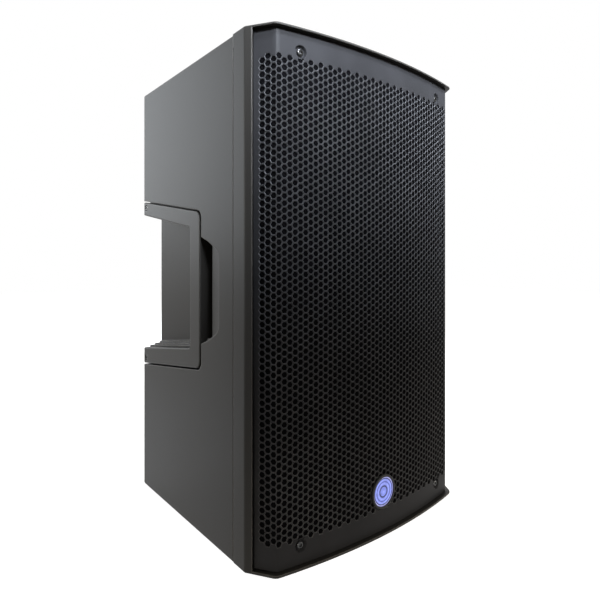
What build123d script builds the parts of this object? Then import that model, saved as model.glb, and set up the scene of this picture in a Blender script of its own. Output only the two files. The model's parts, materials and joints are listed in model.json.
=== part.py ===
from build123d import *
import os
from math import atan2, cos, radians, sin, sqrt

# Active two-way loudspeaker cabinet, 12 inch woofer and horn, in millimetres.
# X runs across the front, -Y is the listening side, +Z is up. The origin is on the floor,
# under the middle of the cabinet.

# ---------------------------------------------------------------- cabinet
cabinet_width = 368.0
cabinet_height = 616.0
cabinet_depth = 346.0
foot_height = 4.0
wall = 5.0
edge_radius = 3.5
rear_corner_radius = 7.0
bow_rise = 16.0
facet_across = 21.0
facet_back = 32.5
cheek_width = 9.6
cheek_undercut = 2.0
cheek_radius = 5.0
bend_radius = 12.0
seam_setback = 24.5
seam_width = 1.3
seam_depth = 1.5
seam_stop = 17.0
rear_step = 1.5

# ---------------------------------------------------------------- front
top_lip = 3.0
bottom_lip = 4.0
rim_radius = 2.4
grille_recess = 6.5
grille_thickness = 1.5
grille_gap = 0.4
foam_thickness = 4.0
baffle_setback = 46.0
baffle_thickness = 8.0
grille_screw_inset = 35.0
grille_screw_top = 25.4
dimple_radius = 8.0
dimple_depth = 3.4
boss_radius = 5.0
badge_height = 54.5
badge_radius = 21.7
badge_lens_radius = 18.6
badge_body_radius = 19.8
badge_bezel = 2.6
badge_lens_thickness = 2.5
badge_depth = 14.0
board_thickness = 1.6
led_count = 6
led_size = 3.0
led_share = 0.6

# ---------------------------------------------------------------- woofer
woofer_share = 0.338
woofer_side_margin = 8.0
woofer_flange = 7.0
woofer_flange_width = 14.0
basket_wall = 3.0
basket_depth = 66.0
basket_throat = 84.0
basket_spokes = 6
basket_spoke_width = 14.0
woofer_screw_inset = 6.5
woofer_screw_count = 8
surround_rim_inset = 13.0
surround_wall = 1.0
roll_height = 6.5
gasket_thickness = 2.0
cone_inset = 33.0
cone_wall = 1.4
cone_depth = 36.0
coil_radius = 26.3
coil_former = 1.2
coil_winding = 0.9
coil_overhang = 6.0
coil_clearance = 0.8
spider_wave = 3.0
spider_wall = 0.8
spider_waves = 5
vent_radius = 8.0
motor_chamfer = 1.5
top_plate_radius = 70.0
top_plate_thickness = 10.0
magnet_radius = 78.0
magnet_thickness = 20.0
back_plate_thickness = 10.0
suspension_gap = 0.3
dust_cap_radius = 46.0
dust_cap_rise = 12.0

# ---------------------------------------------------------------- horn and driver
horn_share = 0.786
horn_width_share = 0.65
horn_height_share = 0.312
horn_flange_thickness = 5.0
horn_side_border = 13.5
horn_end_border = 16.0
horn_depth = 96.0
horn_wall = 3.0
horn_corner = 14.0
horn_shares = (0.0, 0.2, 0.4, 0.7, 1.0)
horn_screw_edge = 5.0
horn_clearance = 0.5
horn_collar = 6.0
horn_collar_radius = 44.0
throat_radius = 17.5
driver_radius = 52.0
driver_length = 38.0
driver_cap_radius = 42.0
driver_cap_length = 18.0

# ---------------------------------------------------------------- ports
port_turn = 45.7
port_gap = 2.4
port_radius = 24.0
port_wall = 2.5
port_flange = 3.5
port_length = 110.0
port_flare = 4.0
port_lip = 2.0

# ---------------------------------------------------------------- side handles
# Heights are above the cabinet's bottom edge, set-backs are behind the front corner.
handle_bar_front = 107.0
handle_bar_width = 27.5
handle_bar_depth = 20.0
handle_arm_depth = 12.0
handle_top_rear = 446.0
handle_top_front = 415.5
handle_bottom_rear = 191.0
handle_bottom_front = 212.5
grip_top_rear = 425.5
grip_top_front = 396.5
grip_bottom_rear = 215.5
grip_bottom_front = 235.5
handle_corner_radius = 11.0
grip_corner_radius = 5.0
handle_edge_radius = 2.0
handle_gap = 2.0
handle_front_gap = 5.3
pocket_rear_depth = 31.0
pocket_front_depth = 47.0
pocket_wall = 4.0
pocket_step = 2.5
pocket_step_depths = (12.0, 20.0, 28.0)
slot_length = 18.3
slot_undercut = 3.0
slot_top = 382.5
slot_bottom = 245.5
slot_slope = 6.5
scoop_length = 27.3
scoop_depth = 6.0
scoop_inset = 14.0
scoop_radius = 18.0
scoop_curve_back = 0.38
scoop_curve_in = 0.42
handle_screw_inset = 13.5
handle_screw_rise = 10.5

# ---------------------------------------------------------------- amplifier
amp_height = 326.0
amp_panel_width = 232.0
amp_panel_height = 342.0
amp_panel_thickness = 3.0
amp_panel_corner = 5.0
amp_recess = 18.0
amp_ledge = 11.0
amp_gap = 1.5
socket_row = 5.0
knob_row = -38.0
power_rise = 49.0
combo_column_1 = -82.0
combo_column_2 = -42.0
link_column = 2.0
encoder_column = 62.0
inlet_column = -70.0
rocker_column = -20.0
display_width = 46.0
display_height = 26.0
chassis_depth = 58.0
chassis_wall = 1.5
chassis_margin = 4.0
fin_count = 15
fin_thickness = 2.2
fin_length = 110.0
fin_height = 10.0
sink_base = 4.0
sink_width = 200.0
sink_top_gap = 14.0
panel_screw_gap = 5.5
panel_screw_share = 0.34
panel_screw_length = 8.0
board_width = 180.0
board_height = 130.0
board_row = 75.0
capacitor_radius = 12.5
capacitor_height = 22.0
capacitor_pitch = 32.0
transformer_width = 40.0
transformer_length = 36.0
transformer_height = 20.0
choke_width = 22.0
choke_length = 30.0
choke_height = 18.0
spreader_width = 140.0
spreader_thickness = 14.0
spreader_height = 24.0
standoff_height = 6.0
standoff_radius = 3.0
pot_size = 16.0
pot_depth = 9.0
knob_cap = 2.5
pointer_width = 1.6
pointer_depth = 0.8
flute_radius = 1.2
flute_count = 12
knob_radius = 9.0
knob_length = 11.5
encoder_radius = 11.0
knob_gap = 0.5
shaft_radius = 3.0
shaft_clearance = 0.05
connector_width = 26.0
connector_height = 31.0
connector_flange = 2.4
connector_radius = 11.8
connector_depth = 24.0
socket_radius = 9.4
socket_depth = 15.0
socket_drop = 2.5
jack_radius = 3.3
jack_depth = 8.0
pin_radius = 1.1
pin_length = 9.5
latch_width = 7.0
latch_height = 4.0
latch_proud = 1.2
latch_gap = 0.3
latch_well = 4.5
latch_rise = 9.8
inlet_width = 34.0
inlet_height = 27.0
inlet_body_width = 27.0
inlet_body_height = 20.0
inlet_pin_pitch = 7.0
inlet_pin_width = 4.0
inlet_cavity_width = 24.4
inlet_cavity_height = 16.6
inlet_cavity_depth = 15.0
rocker_width = 13.0
rocker_height = 20.0
rocker_gap = 0.4
rocker_rim = 3.0
rocker_well = 12.0
rocker_spread = 62.0
rocker_back = 110.0
rocker_tilt = 9.0

# ---------------------------------------------------------------- underside
pole_radius = 17.8
pole_wall = 4.0
pole_depth = 84.0
pole_flange_radius = 46.0
pole_flange = 4.0
pole_y = 14.0
pole_screw_circle = 36.0
foot_radius = 14.0
foot_taper = 8.0
foot_recess = 1.5
foot_across = 140.0
foot_front = -68.0
foot_rear = 138.0

# ---------------------------------------------------------------- fasteners and clearances
screw_radius = 2.0
screw_head_radius = 4.2
screw_head_height = 2.6
grille_screw_length = 14.0
fit = 0.05
lining_thickness = 12.0
lining_margin = 18.5
lining_gap = 4.0
shell_screw_length = 20.0
shell_screw_sink = 3.0
shell_screw_edge = 21.0
shell_screw_shares = (0.2, 0.38, 0.62, 0.88)
handle_screw_sink = 3.0
head_clearance = 0.5
pick_reach = 1.0

# ---------------------------------------------------------------- worked-out places
half_width = cabinet_width / 2
rear_y = cabinet_depth / 2
front_y = -cabinet_depth / 2
bottom_z = foot_height
top_z = bottom_z + cabinet_height
bend_x = half_width - facet_across
bend_y = front_y + bow_rise
corner_y = bend_y + facet_back
seam_y = corner_y + seam_setback
bow_radius = (bend_x ** 2 + bow_rise ** 2) / (2 * bow_rise)
bow_centre_y = front_y + bow_radius
facet_turn = atan2(facet_back, facet_across)
baffle_y = front_y + baffle_setback
baffle_back_y = baffle_y + baffle_thickness
rear_top_z = top_z - rear_step
woofer_z = bottom_z + woofer_share * cabinet_height
woofer_radius = bend_x - woofer_side_margin
cutout_radius = woofer_radius - woofer_flange_width
woofer_screw_circle = woofer_radius - woofer_screw_inset
surround_rim_radius = woofer_radius - surround_rim_inset
cone_radius = woofer_radius - cone_inset
horn_z = bottom_z + horn_share * cabinet_height
horn_flange_width = horn_width_share * cabinet_width
horn_flange_height = horn_height_share * cabinet_height
horn_mouth_width = horn_flange_width - 2 * horn_side_border
horn_mouth_height = horn_flange_height - 2 * horn_end_border
port_reach = woofer_radius + port_gap + port_radius + port_wall + port_flange
port_across = port_reach * cos(radians(port_turn))
port_z = woofer_z - port_reach * sin(radians(port_turn))
amp_z = bottom_z + amp_height
panel_back_y = rear_y - amp_recess
panel_y = panel_back_y + amp_panel_thickness
badge_z = bottom_z + badge_height

power_row = power_rise - amp_panel_height / 2
panel_screw_u = amp_panel_width / 2 - panel_screw_gap
panel_screw_v = amp_panel_height / 2 - panel_screw_gap
panel_screw_spots = [(u * panel_screw_u, v * panel_screw_v)
                     for u in (-1, 1)
                     for v in (-1, -panel_screw_share, panel_screw_share, 1)]
panel_screw_spots += [(0, -panel_screw_v), (0, panel_screw_v)]
foot_places = [(x, y) for x in (-foot_across, foot_across) for y in (foot_front, foot_rear)]

os.makedirs("parts", exist_ok=True)


def save(part, name):
    """Label a finished piece and write its STEP file."""
    part.label = name
    export_step(part, f"parts/{name}.step")


def facing(x, y, z, normal=(0, -1, 0)):
    """A work plane at a point; by default it faces the listener, with +X to its right."""
    return Plane(origin=(x, y, z), x_dir=(1, 0, 0), z_dir=normal)


def rear_facing(x, y, z):
    """A work plane that faces out of the back, with local X along -X and local Y up."""
    return Plane(origin=(x, y, z), x_dir=(-1, 0, 0), z_dir=(0, 1, 0))


def floor_facing(x, y, z):
    """A work plane that faces straight down."""
    return Plane(origin=(x, y, z), x_dir=(1, 0, 0), z_dir=(0, 0, -1))


def side_plane(side, depth=0.0):
    """A plane in a side wall: local X runs to the back, local Y up, facing into the cabinet."""
    x = side * (half_width - depth)
    return Plane(origin=(x, 0, 0), x_dir=(0, 1, 0), z_dir=(1, 0, 0))


def facet_point(along, inset):
    """Point on the right-hand facet, counted from its side corner and moved inwards."""
    x = half_width - along * cos(facet_turn) - inset * sin(facet_turn)
    y = corner_y - along * sin(facet_turn) + inset * cos(facet_turn)
    return x, y


def plan_points(inset=0.0):
    """Right-hand side corner and bend of the front outline, moved inwards by inset."""
    start_x, start_y = facet_point(0, inset)
    corner_along = (start_x - half_width + inset) / cos(facet_turn)
    reach_y = start_y - bow_centre_y
    half_b = -start_x * cos(facet_turn) - reach_y * sin(facet_turn)
    inside = (bow_radius - inset) ** 2 - start_x ** 2 - reach_y ** 2
    bend_along = -half_b + sqrt(half_b ** 2 + inside)
    return facet_point(corner_along, inset), facet_point(bend_along, inset)


def front_outline(inset, back_y):
    """Plan outline: straight sides from back_y, a facet each side and the bowed front."""
    corner, bend = plan_points(inset)
    Polyline((-bend[0], bend[1]), (-corner[0], corner[1]), (-corner[0], back_y),
             (corner[0], back_y), corner, bend)
    ThreePointArc(bend, (0, front_y + inset), (-bend[0], bend[1]))


def grille_plane(x, z, depth=0.0):
    """A plane facing straight out of the bowed grille at x and z, set back by depth."""
    y = bow_centre_y - sqrt((bow_radius - grille_recess) ** 2 - x ** 2)
    normal = (x, y - bow_centre_y, 0)
    return Plane(origin=(x, y, z), x_dir=(bow_centre_y - y, x, 0), z_dir=normal).offset(-depth)


horn_screw_x = horn_flange_width / 2 - horn_screw_edge
horn_screw_z = horn_flange_height / 2 - horn_screw_edge
horn_screw_places = [(x, horn_z + z) for x in (-horn_screw_x, 0, horn_screw_x)
                     for z in (-horn_screw_z, horn_screw_z)]
grille_screw_x = bend_x - grille_screw_inset
grille_screw_places = [(x, z) for x in (-grille_screw_x, grille_screw_x)
                       for z in (bottom_z + grille_screw_top, top_z - grille_screw_top)]
shell_screw_x = half_width - shell_screw_edge
shell_screw_places = [(side * shell_screw_x, bottom_z + share * cabinet_height)
                      for side in (-1, 1) for share in shell_screw_shares]

# ================================================================ front moulding
cheek_reach = grille_recess + grille_thickness + 2 * fit
cheek_outer = facet_point(cheek_width, -rear_corner_radius)
cheek_mouth = facet_point(cheek_width, 0)
cheek_inner = facet_point(cheek_width - cheek_undercut, cheek_reach)
clear_y = front_y - bow_rise

with BuildPart() as front_baffle:
    with BuildSketch(Plane.XY.offset(bottom_z)):
        with BuildLine():
            front_outline(0, seam_y)
        make_face()
    extrude(amount=cabinet_height)
    upright = front_baffle.edges().filter_by(Axis.Z).group_by(Axis.Y)
    fillet(upright[0], bend_radius)
    upright = front_baffle.edges().filter_by(Axis.Z).filter_by_position(
        Axis.Y, corner_y - pick_reach, corner_y + pick_reach)
    fillet(upright, cheek_radius)
    rims = [edge for edge in front_baffle.faces().filter_by(Plane.XY).edges()
            if edge.center().Y < seam_y - fit]
    fillet(rims, rim_radius)
    # room for the grille in front of the baffle
    with BuildSketch(Plane.XY.offset(bottom_z + bottom_lip)):
        with BuildLine():
            Polyline((cheek_inner[0], baffle_y), cheek_inner, cheek_mouth, cheek_outer,
                     (cheek_outer[0], clear_y), (-cheek_outer[0], clear_y),
                     (-cheek_outer[0], cheek_outer[1]), (-cheek_mouth[0], cheek_mouth[1]),
                     (-cheek_inner[0], cheek_inner[1]), (-cheek_inner[0], baffle_y), close=True)
        make_face()
    extrude(amount=cabinet_height - bottom_lip - top_lip, mode=Mode.SUBTRACT)
    # hollow behind the baffle
    with BuildSketch(facing(0, seam_y, (bottom_z + top_z) / 2)):
        Rectangle(cabinet_width - 2 * wall, cabinet_height - 2 * wall)
    extrude(amount=seam_y - baffle_back_y, mode=Mode.SUBTRACT)
    # bosses that the grille is screwed to
    for x, z in grille_screw_places:
        with BuildSketch(grille_plane(x, z, grille_thickness + dimple_depth)):
            Circle(boss_radius)
        extrude(amount=-baffle_setback)
        with BuildSketch(grille_plane(x, z, dimple_depth)):
            Circle(screw_radius + fit)
        extrude(amount=-grille_screw_length - fit, mode=Mode.SUBTRACT)
    # openings for the woofer, horn and ports
    with BuildSketch(facing(0, baffle_y, 0)):
        with Locations((0, woofer_z)):
            Circle(cutout_radius)
        with Locations((0, horn_z)):
            Rectangle(horn_mouth_width + 2 * (horn_wall + horn_clearance),
                      horn_mouth_height + 2 * (horn_wall + horn_clearance))
        with Locations((-port_across, port_z), (port_across, port_z)):
            Circle(port_radius + port_wall + fit)
        with Locations(*shell_screw_places, *horn_screw_places):
            Circle(screw_radius + fit)
        with Locations((0, woofer_z)):
            with PolarLocations(woofer_screw_circle, woofer_screw_count):
                Circle(screw_radius + fit)
    extrude(amount=-baffle_thickness, mode=Mode.SUBTRACT)
    with BuildSketch(facing(0, baffle_y, 0)):
        with Locations(*shell_screw_places):
            Circle(screw_head_radius + head_clearance)
    extrude(amount=-shell_screw_sink, mode=Mode.SUBTRACT)
    # shadow groove down each side of the seam
    with BuildSketch(Plane.XY.offset(bottom_z)):
        with Locations((-half_width, seam_y), (half_width, seam_y)):
            Rectangle(2 * seam_depth, 2 * seam_width)
    extrude(amount=cabinet_height - seam_stop, mode=Mode.SUBTRACT)
save(front_baffle.part, "front_baffle")

# ================================================================ side handles
over = 20.0
bar_front_y = corner_y + handle_bar_front
bar_rear_y = bar_front_y + handle_bar_width
skin_edge_y = bar_front_y - handle_front_gap
slot_front_y = skin_edge_y - slot_length
pocket_front_y = slot_front_y - slot_undercut
scoop_front_y = slot_front_y - scoop_length


def slope_height(y, front_point, rear_point):
    """Height above the floor, at y, of the line through two points of the side view."""
    (front, low), (back, high) = front_point, rear_point
    return bottom_z + low + (high - low) * (y - front) / (back - front)


def bracket_outline(gap=0.0, rear=rear_y):
    """Outer edge of the C-shaped handle in side view, grown by gap and run on to rear."""
    front = bar_front_y - (handle_front_gap if gap else 0)
    top = ((bar_front_y, handle_top_front + gap), (rear_y, handle_top_rear + gap))
    bottom = ((bar_front_y, handle_bottom_front - gap), (rear_y, handle_bottom_rear - gap))
    Polyline((rear, slope_height(rear, *top)), (front, slope_height(front, *top)),
             (front, slope_height(front, *bottom)), (rear, slope_height(rear, *bottom)),
             close=True)


def grip_outline(rise=0.0, rear=rear_y):
    """Side view of the hand cavity behind the handle; rise lifts its floor."""
    top = ((bar_rear_y, grip_top_front), (rear_y, grip_top_rear))
    bottom = ((bar_rear_y, grip_bottom_front + rise), (rear_y, grip_bottom_rear + rise))
    Polyline((rear, slope_height(rear, *top)), (bar_rear_y, slope_height(bar_rear_y, *top)),
             (skin_edge_y, bottom_z + slot_top), (pocket_front_y, bottom_z + slot_top - slot_slope),
             (pocket_front_y, bottom_z + slot_bottom + slot_slope),
             (skin_edge_y, bottom_z + slot_bottom),
             (bar_rear_y, slope_height(bar_rear_y, *bottom)),
             (rear, slope_height(rear, *bottom)), close=True)


def pocket_plan(side, grow=0.0):
    """Plan of a pocket, deeper towards the front; grow adds the wall that lines it."""
    outer = half_width - wall / 2 if grow else half_width + over
    rear = rear_y - wall / 2 if grow else rear_y + over
    front = pocket_front_y - grow
    Polyline((side * outer, front), (side * (half_width - pocket_front_depth - grow), front),
             (side * (half_width - pocket_rear_depth - grow), rear_y),
             (side * (half_width - pocket_rear_depth - grow), rear), (side * outer, rear),
             close=True)


def pocket_space(side, grow=0.0):
    """Hollow for one hand with its stepped floor, or the block that lines it."""
    ends = pocket_step_depths[1:] + (pocket_front_depth + over,)
    with BuildPart() as space:
        for step, (start, end) in enumerate(zip(pocket_step_depths, ends)):
            with BuildSketch(side_plane(side, start)):
                with BuildLine():
                    grip_outline((step + 1) * pocket_step, rear_y + over)
                make_face()
                if grow:
                    offset(amount=grow, kind=Kind.INTERSECTION)
            extrude(amount=-side * (end - start))
        with BuildSketch(side_plane(side, -over)) as seat:
            with BuildLine():
                bracket_outline(handle_gap, rear_y + over)
            make_face()
            fillet(seat.vertices().group_by(Axis.X)[0], handle_corner_radius + handle_gap)
            if grow:
                offset(amount=grow, kind=Kind.INTERSECTION)
        extrude(amount=-side * (over + handle_arm_depth + grow))
        with BuildSketch(Plane.XY.offset(bottom_z)):
            with BuildLine():
                pocket_plan(side, grow)
            make_face()
        extrude(amount=cabinet_height, mode=Mode.INTERSECT)
    return space.part


def slot_space(side):
    """Finger slot through the skin in front of the handle bar."""
    with BuildPart() as slot:
        with BuildSketch(side_plane(side, -over)):
            with BuildLine():
                Polyline((bar_front_y, bottom_z + slot_top), (skin_edge_y, bottom_z + slot_top),
                         (slot_front_y, bottom_z + slot_top - slot_slope),
                         (slot_front_y, bottom_z + slot_bottom + slot_slope),
                         (skin_edge_y, bottom_z + slot_bottom),
                         (bar_front_y, bottom_z + slot_bottom), close=True)
            make_face()
        extrude(amount=-side * (over + pocket_step_depths[1]))
    return slot.part


def scoop_space(side, grow=0.0):
    """Shallow hollow that leads the fingers into the slot; grow makes the pad behind it."""
    low = bottom_z + slot_bottom + slot_slope
    high = bottom_z + slot_top - slot_slope
    skin = half_width + (over if not grow else -wall / 2)
    deep = half_width - scoop_depth - grow
    with BuildPart() as scoop:
        with BuildSketch(side_plane(side, -over)) as outline:
            with BuildLine():
                Polyline((slot_front_y + slot_undercut, low), (slot_front_y + slot_undercut, high),
                         (slot_front_y, high), (scoop_front_y, high - scoop_inset),
                         (scoop_front_y, low + scoop_inset), (slot_front_y, low), close=True)
            make_face()
            fillet(outline.vertices().group_by(Axis.X)[0], scoop_radius)
            if grow:
                offset(amount=grow, kind=Kind.INTERSECTION)
        extrude(amount=-side * half_width)
        with BuildSketch(Plane.XY.offset(bottom_z)):
            with BuildLine():
                Polyline((side * deep, slot_front_y), (side * deep, skin_edge_y),
                         (side * skin, skin_edge_y), (side * skin, scoop_front_y - grow),
                         (side * (half_width - grow), scoop_front_y - grow))
                ThreePointArc((side * (half_width - grow), scoop_front_y - grow),
                              (side * (half_width - grow - scoop_curve_in * scoop_depth),
                               scoop_front_y + scoop_curve_back * scoop_length),
                              (side * deep, slot_front_y))
            make_face()
        extrude(amount=cabinet_height, mode=Mode.INTERSECT)
    return scoop.part


handle_screw_places = [(rear_y - handle_screw_inset, bottom_z + handle_top_rear - handle_screw_rise),
                       (rear_y - handle_screw_inset, bottom_z + handle_bottom_rear
                        + handle_screw_rise)]

# ================================================================ rear moulding
pocket_linings = [pocket_space(side, pocket_wall) for side in (-1, 1)]
pocket_hollows = [pocket_space(side) + slot_space(side) + scoop_space(side) for side in (-1, 1)]
scoop_pads = [scoop_space(side, pocket_wall) for side in (-1, 1)]

with BuildPart() as rear_shell:
    with BuildSketch(facing(0, seam_y, (bottom_z + rear_top_z) / 2, (0, 1, 0))):
        Rectangle(cabinet_width, cabinet_height - rear_step)
    extrude(amount=rear_y - seam_y)
    fillet(rear_shell.edges().filter_by(Axis.Z).group_by(Axis.Y)[-1], rear_corner_radius)
    rims = [edge for edge in rear_shell.faces().filter_by(Plane.XY).edges()
            if edge.center().Y > seam_y + fit]
    fillet(rims, edge_radius)
    with BuildSketch(facing(0, seam_y, (bottom_z + rear_top_z) / 2, (0, 1, 0))):
        Rectangle(cabinet_width - 2 * wall, cabinet_height - rear_step - 2 * wall)
    extrude(amount=rear_y - seam_y - wall, mode=Mode.SUBTRACT)
    # walls that line the two hand pockets and back the finger scoops
    for lining in pocket_linings + scoop_pads:
        add(lining)
    # sunk seat for the amplifier panel
    with BuildSketch(rear_facing(0, panel_back_y, amp_z)):
        Rectangle(amp_panel_width + 2 * amp_gap + 2 * wall,
                  amp_panel_height + 2 * amp_gap + 2 * wall)
    extrude(amount=amp_recess - wall / 2)
    with BuildSketch(rear_facing(0, panel_back_y - wall, amp_z)):
        Rectangle(amp_panel_width + 2 * amp_gap + 2 * wall,
                  amp_panel_height + 2 * amp_gap + 2 * wall)
        Rectangle(amp_panel_width - 2 * amp_ledge, amp_panel_height - 2 * amp_ledge,
                  mode=Mode.SUBTRACT)
    extrude(amount=wall)
    with BuildSketch(rear_facing(0, panel_back_y, amp_z)):
        RectangleRounded(amp_panel_width + 2 * amp_gap, amp_panel_height + 2 * amp_gap,
                         amp_panel_corner + amp_gap)
    extrude(amount=amp_recess, mode=Mode.SUBTRACT)
    # posts that carry the front moulding's screws
    for x, z in shell_screw_places:
        with BuildSketch(facing(x, baffle_back_y, z, (0, 1, 0))):
            Circle(boss_radius)
        extrude(amount=seam_y - baffle_back_y + 3 * boss_radius)
        with BuildSketch(facing(x, seam_y, z, (0, 1, 0))):
            with Locations((shell_screw_edge / 2 if x > 0 else -shell_screw_edge / 2, 0)):
                Rectangle(shell_screw_edge - wall / 2, boss_radius)
        extrude(amount=3 * boss_radius)
        with BuildSketch(facing(x, baffle_back_y, z, (0, 1, 0))):
            Circle(screw_radius + fit)
        extrude(amount=shell_screw_length - shell_screw_sink, mode=Mode.SUBTRACT)
    # holes for the amplifier panel's screws
    with BuildSketch(rear_facing(0, panel_back_y, amp_z)):
        with Locations(*panel_screw_spots):
            Circle(screw_radius + fit)
    extrude(amount=-wall, mode=Mode.SUBTRACT)
    # seats for the pole socket and the feet
    with BuildSketch(Plane.XY.offset(bottom_z + wall)):
        with Locations((0, pole_y)):
            Circle(pole_flange_radius + wall)
    extrude(amount=pole_flange)
    for radius, depth in ((pole_radius + pole_wall + fit, wall + pole_flange),
                          (pole_flange_radius + fit, pole_flange)):
        with BuildSketch(Plane.XY.offset(bottom_z)):
            with Locations((0, pole_y)):
                Circle(radius)
        extrude(amount=depth, mode=Mode.SUBTRACT)
    with BuildSketch(Plane.XY.offset(bottom_z)):
        with Locations(*foot_places):
            Circle(foot_radius + fit)
    extrude(amount=foot_recess, mode=Mode.SUBTRACT)
    # the pockets themselves
    for hollow in pocket_hollows:
        add(hollow, mode=Mode.SUBTRACT)
save(rear_shell.part, "rear_shell")

with BuildPart() as handle_bracket:
    with BuildSketch(side_plane(-1)) as face:
        with BuildLine():
            bracket_outline()
        make_face()
        fillet(face.vertices().group_by(Axis.X)[0], handle_corner_radius)
        with BuildLine():
            Polyline((rear_y, bottom_z + grip_top_rear), (bar_rear_y, bottom_z + grip_top_front),
                     (bar_rear_y, bottom_z + grip_bottom_front),
                     (rear_y, bottom_z + grip_bottom_rear), close=True)
        make_face(mode=Mode.SUBTRACT)
        fillet([corner for corner in face.vertices() if abs(corner.X - bar_rear_y) < pick_reach],
               grip_corner_radius)
    extrude(amount=handle_arm_depth)
    # the bar is thicker than the two arms, so that it fills the fingers
    with BuildSketch(side_plane(-1, handle_arm_depth)):
        with BuildLine():
            Polyline((bar_front_y, bottom_z + slot_top - grip_corner_radius),
                     (bar_rear_y, bottom_z + slot_top - grip_corner_radius),
                     (bar_rear_y, bottom_z + slot_bottom + grip_corner_radius),
                     (bar_front_y, bottom_z + slot_bottom + grip_corner_radius), close=True)
        make_face()
    extrude(amount=handle_bar_depth - handle_arm_depth)
    # rounded where it follows the cabinet's upright rear corner, drilled at both rear ends
    rear_edge = handle_bracket.edges().filter_by(Axis.Z).group_by(Axis.Y)[-1]
    fillet(rear_edge.group_by(Axis.X)[0], rear_corner_radius)
    fillet(handle_bracket.faces().sort_by(Axis.X)[0].edges(), handle_edge_radius)
    for radius, depth in ((screw_radius + fit, handle_arm_depth),
                          (screw_head_radius + head_clearance, handle_screw_sink)):
        with BuildSketch(side_plane(-1)):
            with Locations(*handle_screw_places):
                Circle(radius)
        extrude(amount=depth, mode=Mode.SUBTRACT)
save(handle_bracket.part, "handle_bracket_left")
save(handle_bracket.part.mirror(Plane.YZ), "handle_bracket_right")

# ================================================================ grille
sheet_back = grille_recess + grille_thickness
sheet_edge = cheek_width - cheek_undercut + 2 * grille_gap
edge_outer = facet_point(sheet_edge, -rear_corner_radius)
edge_inner = facet_point(sheet_edge, sheet_back + wall)


def front_layer(inset, thickness, low, high):
    """Curved layer behind the front outline, cut off square to the facets at the cheeks."""
    with BuildPart() as layer:
        with BuildSketch(Plane.XY.offset(low)):
            with BuildLine():
                front_outline(inset, seam_y)
            make_face()
            with BuildLine():
                front_outline(inset + thickness, seam_y + over)
            make_face(mode=Mode.SUBTRACT)
            with BuildLine():
                Polyline(edge_inner, edge_outer, (edge_outer[0], clear_y),
                         (-edge_outer[0], clear_y), (-edge_outer[0], edge_outer[1]),
                         (-edge_inner[0], edge_inner[1]), close=True)
            make_face(mode=Mode.INTERSECT)
        extrude(amount=high - low)
    return layer.part


with BuildPart() as grille:
    add(front_layer(grille_recess, grille_thickness, bottom_z + bottom_lip + grille_gap,
                    top_z - top_lip - grille_gap))
    for x, z in grille_screw_places:
        # a pressed cup for each screw, with a hole in its floor
        with BuildSketch(grille_plane(x, z)):
            Circle(dimple_radius)
        extrude(amount=over, both=True, mode=Mode.SUBTRACT)
        with BuildSketch(grille_plane(x, z, dimple_depth)):
            Circle(dimple_radius)
            Circle(screw_radius + fit, mode=Mode.SUBTRACT)
        extrude(amount=-grille_thickness)
        with BuildSketch(grille_plane(x, z)):
            Circle(dimple_radius)
            Circle(dimple_radius - grille_thickness, mode=Mode.SUBTRACT)
        extrude(amount=-dimple_depth)
    with BuildSketch(facing(0, baffle_y, badge_z)):
        Circle(badge_body_radius + fit)
    extrude(amount=baffle_setback, mode=Mode.SUBTRACT)
save(grille.part, "grille")

with BuildPart() as grille_foam:
    add(front_layer(sheet_back, foam_thickness, bottom_z + bottom_lip + grille_gap,
                    top_z - top_lip - grille_gap))
    for x, z in grille_screw_places:
        with BuildSketch(grille_plane(x, z)):
            Circle(dimple_radius + fit)
        extrude(amount=over, both=True, mode=Mode.SUBTRACT)
    with BuildSketch(facing(0, baffle_y, badge_z)):
        Circle(badge_body_radius + fit)
    extrude(amount=baffle_setback, mode=Mode.SUBTRACT)
    # it ends in front of the baffle
    with BuildSketch(facing(0, baffle_y - fit, bottom_z)):
        Rectangle(2 * cabinet_width, 2 * cabinet_height + over)
    extrude(amount=baffle_setback, mode=Mode.INTERSECT)
save(grille_foam.part, "grille_foam")


def pan_screws(places, length):
    """A set of pan-head screws; each place is a plane on the surface under the head."""
    with BuildPart() as screws:
        for place in places:
            with BuildSketch(place):
                Circle(screw_head_radius)
            extrude(amount=screw_head_height)
            with BuildSketch(place):
                Circle(screw_radius)
            extrude(amount=-length)
    return screws.part


save(pan_screws([grille_plane(x, z, dimple_depth)
                 for x, z in grille_screw_places], grille_screw_length), "grille_screws")

# ================================================================ lit badge
badge_front_y = front_y + grille_recess - badge_bezel
with BuildPart() as badge_housing:
    with BuildSketch(facing(0, front_y + grille_recess, badge_z)):
        Circle(badge_radius)
    extrude(amount=badge_bezel)
    fillet(badge_housing.edges().group_by(Axis.Y)[0], badge_bezel / 2)
    with BuildSketch(facing(0, front_y + grille_recess, badge_z)):
        Circle(badge_body_radius)
    extrude(amount=-badge_depth)
    with BuildSketch(facing(0, badge_front_y, badge_z)):
        Circle(badge_lens_radius + fit)
    extrude(amount=-badge_bezel - badge_depth + wall / 2, mode=Mode.SUBTRACT)
save(badge_housing.part, "badge_housing")

with BuildPart() as badge_lens:
    with BuildSketch(facing(0, badge_front_y + badge_bezel / 2, badge_z)):
        Circle(badge_lens_radius)
    extrude(amount=-badge_lens_thickness)
save(badge_lens.part, "badge_lens")

led_board_y = front_y + grille_recess + badge_depth - wall / 2
with BuildPart() as badge_led_board:
    with BuildSketch(facing(0, led_board_y, badge_z)):
        Circle(badge_lens_radius)
    extrude(amount=board_thickness)
    with BuildSketch(facing(0, led_board_y - board_thickness, badge_z)):
        with PolarLocations(led_share * badge_lens_radius, led_count):
            Rectangle(led_size, led_size)
    extrude(amount=led_size / 2)
save(badge_led_board.part, "badge_led_board")

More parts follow.
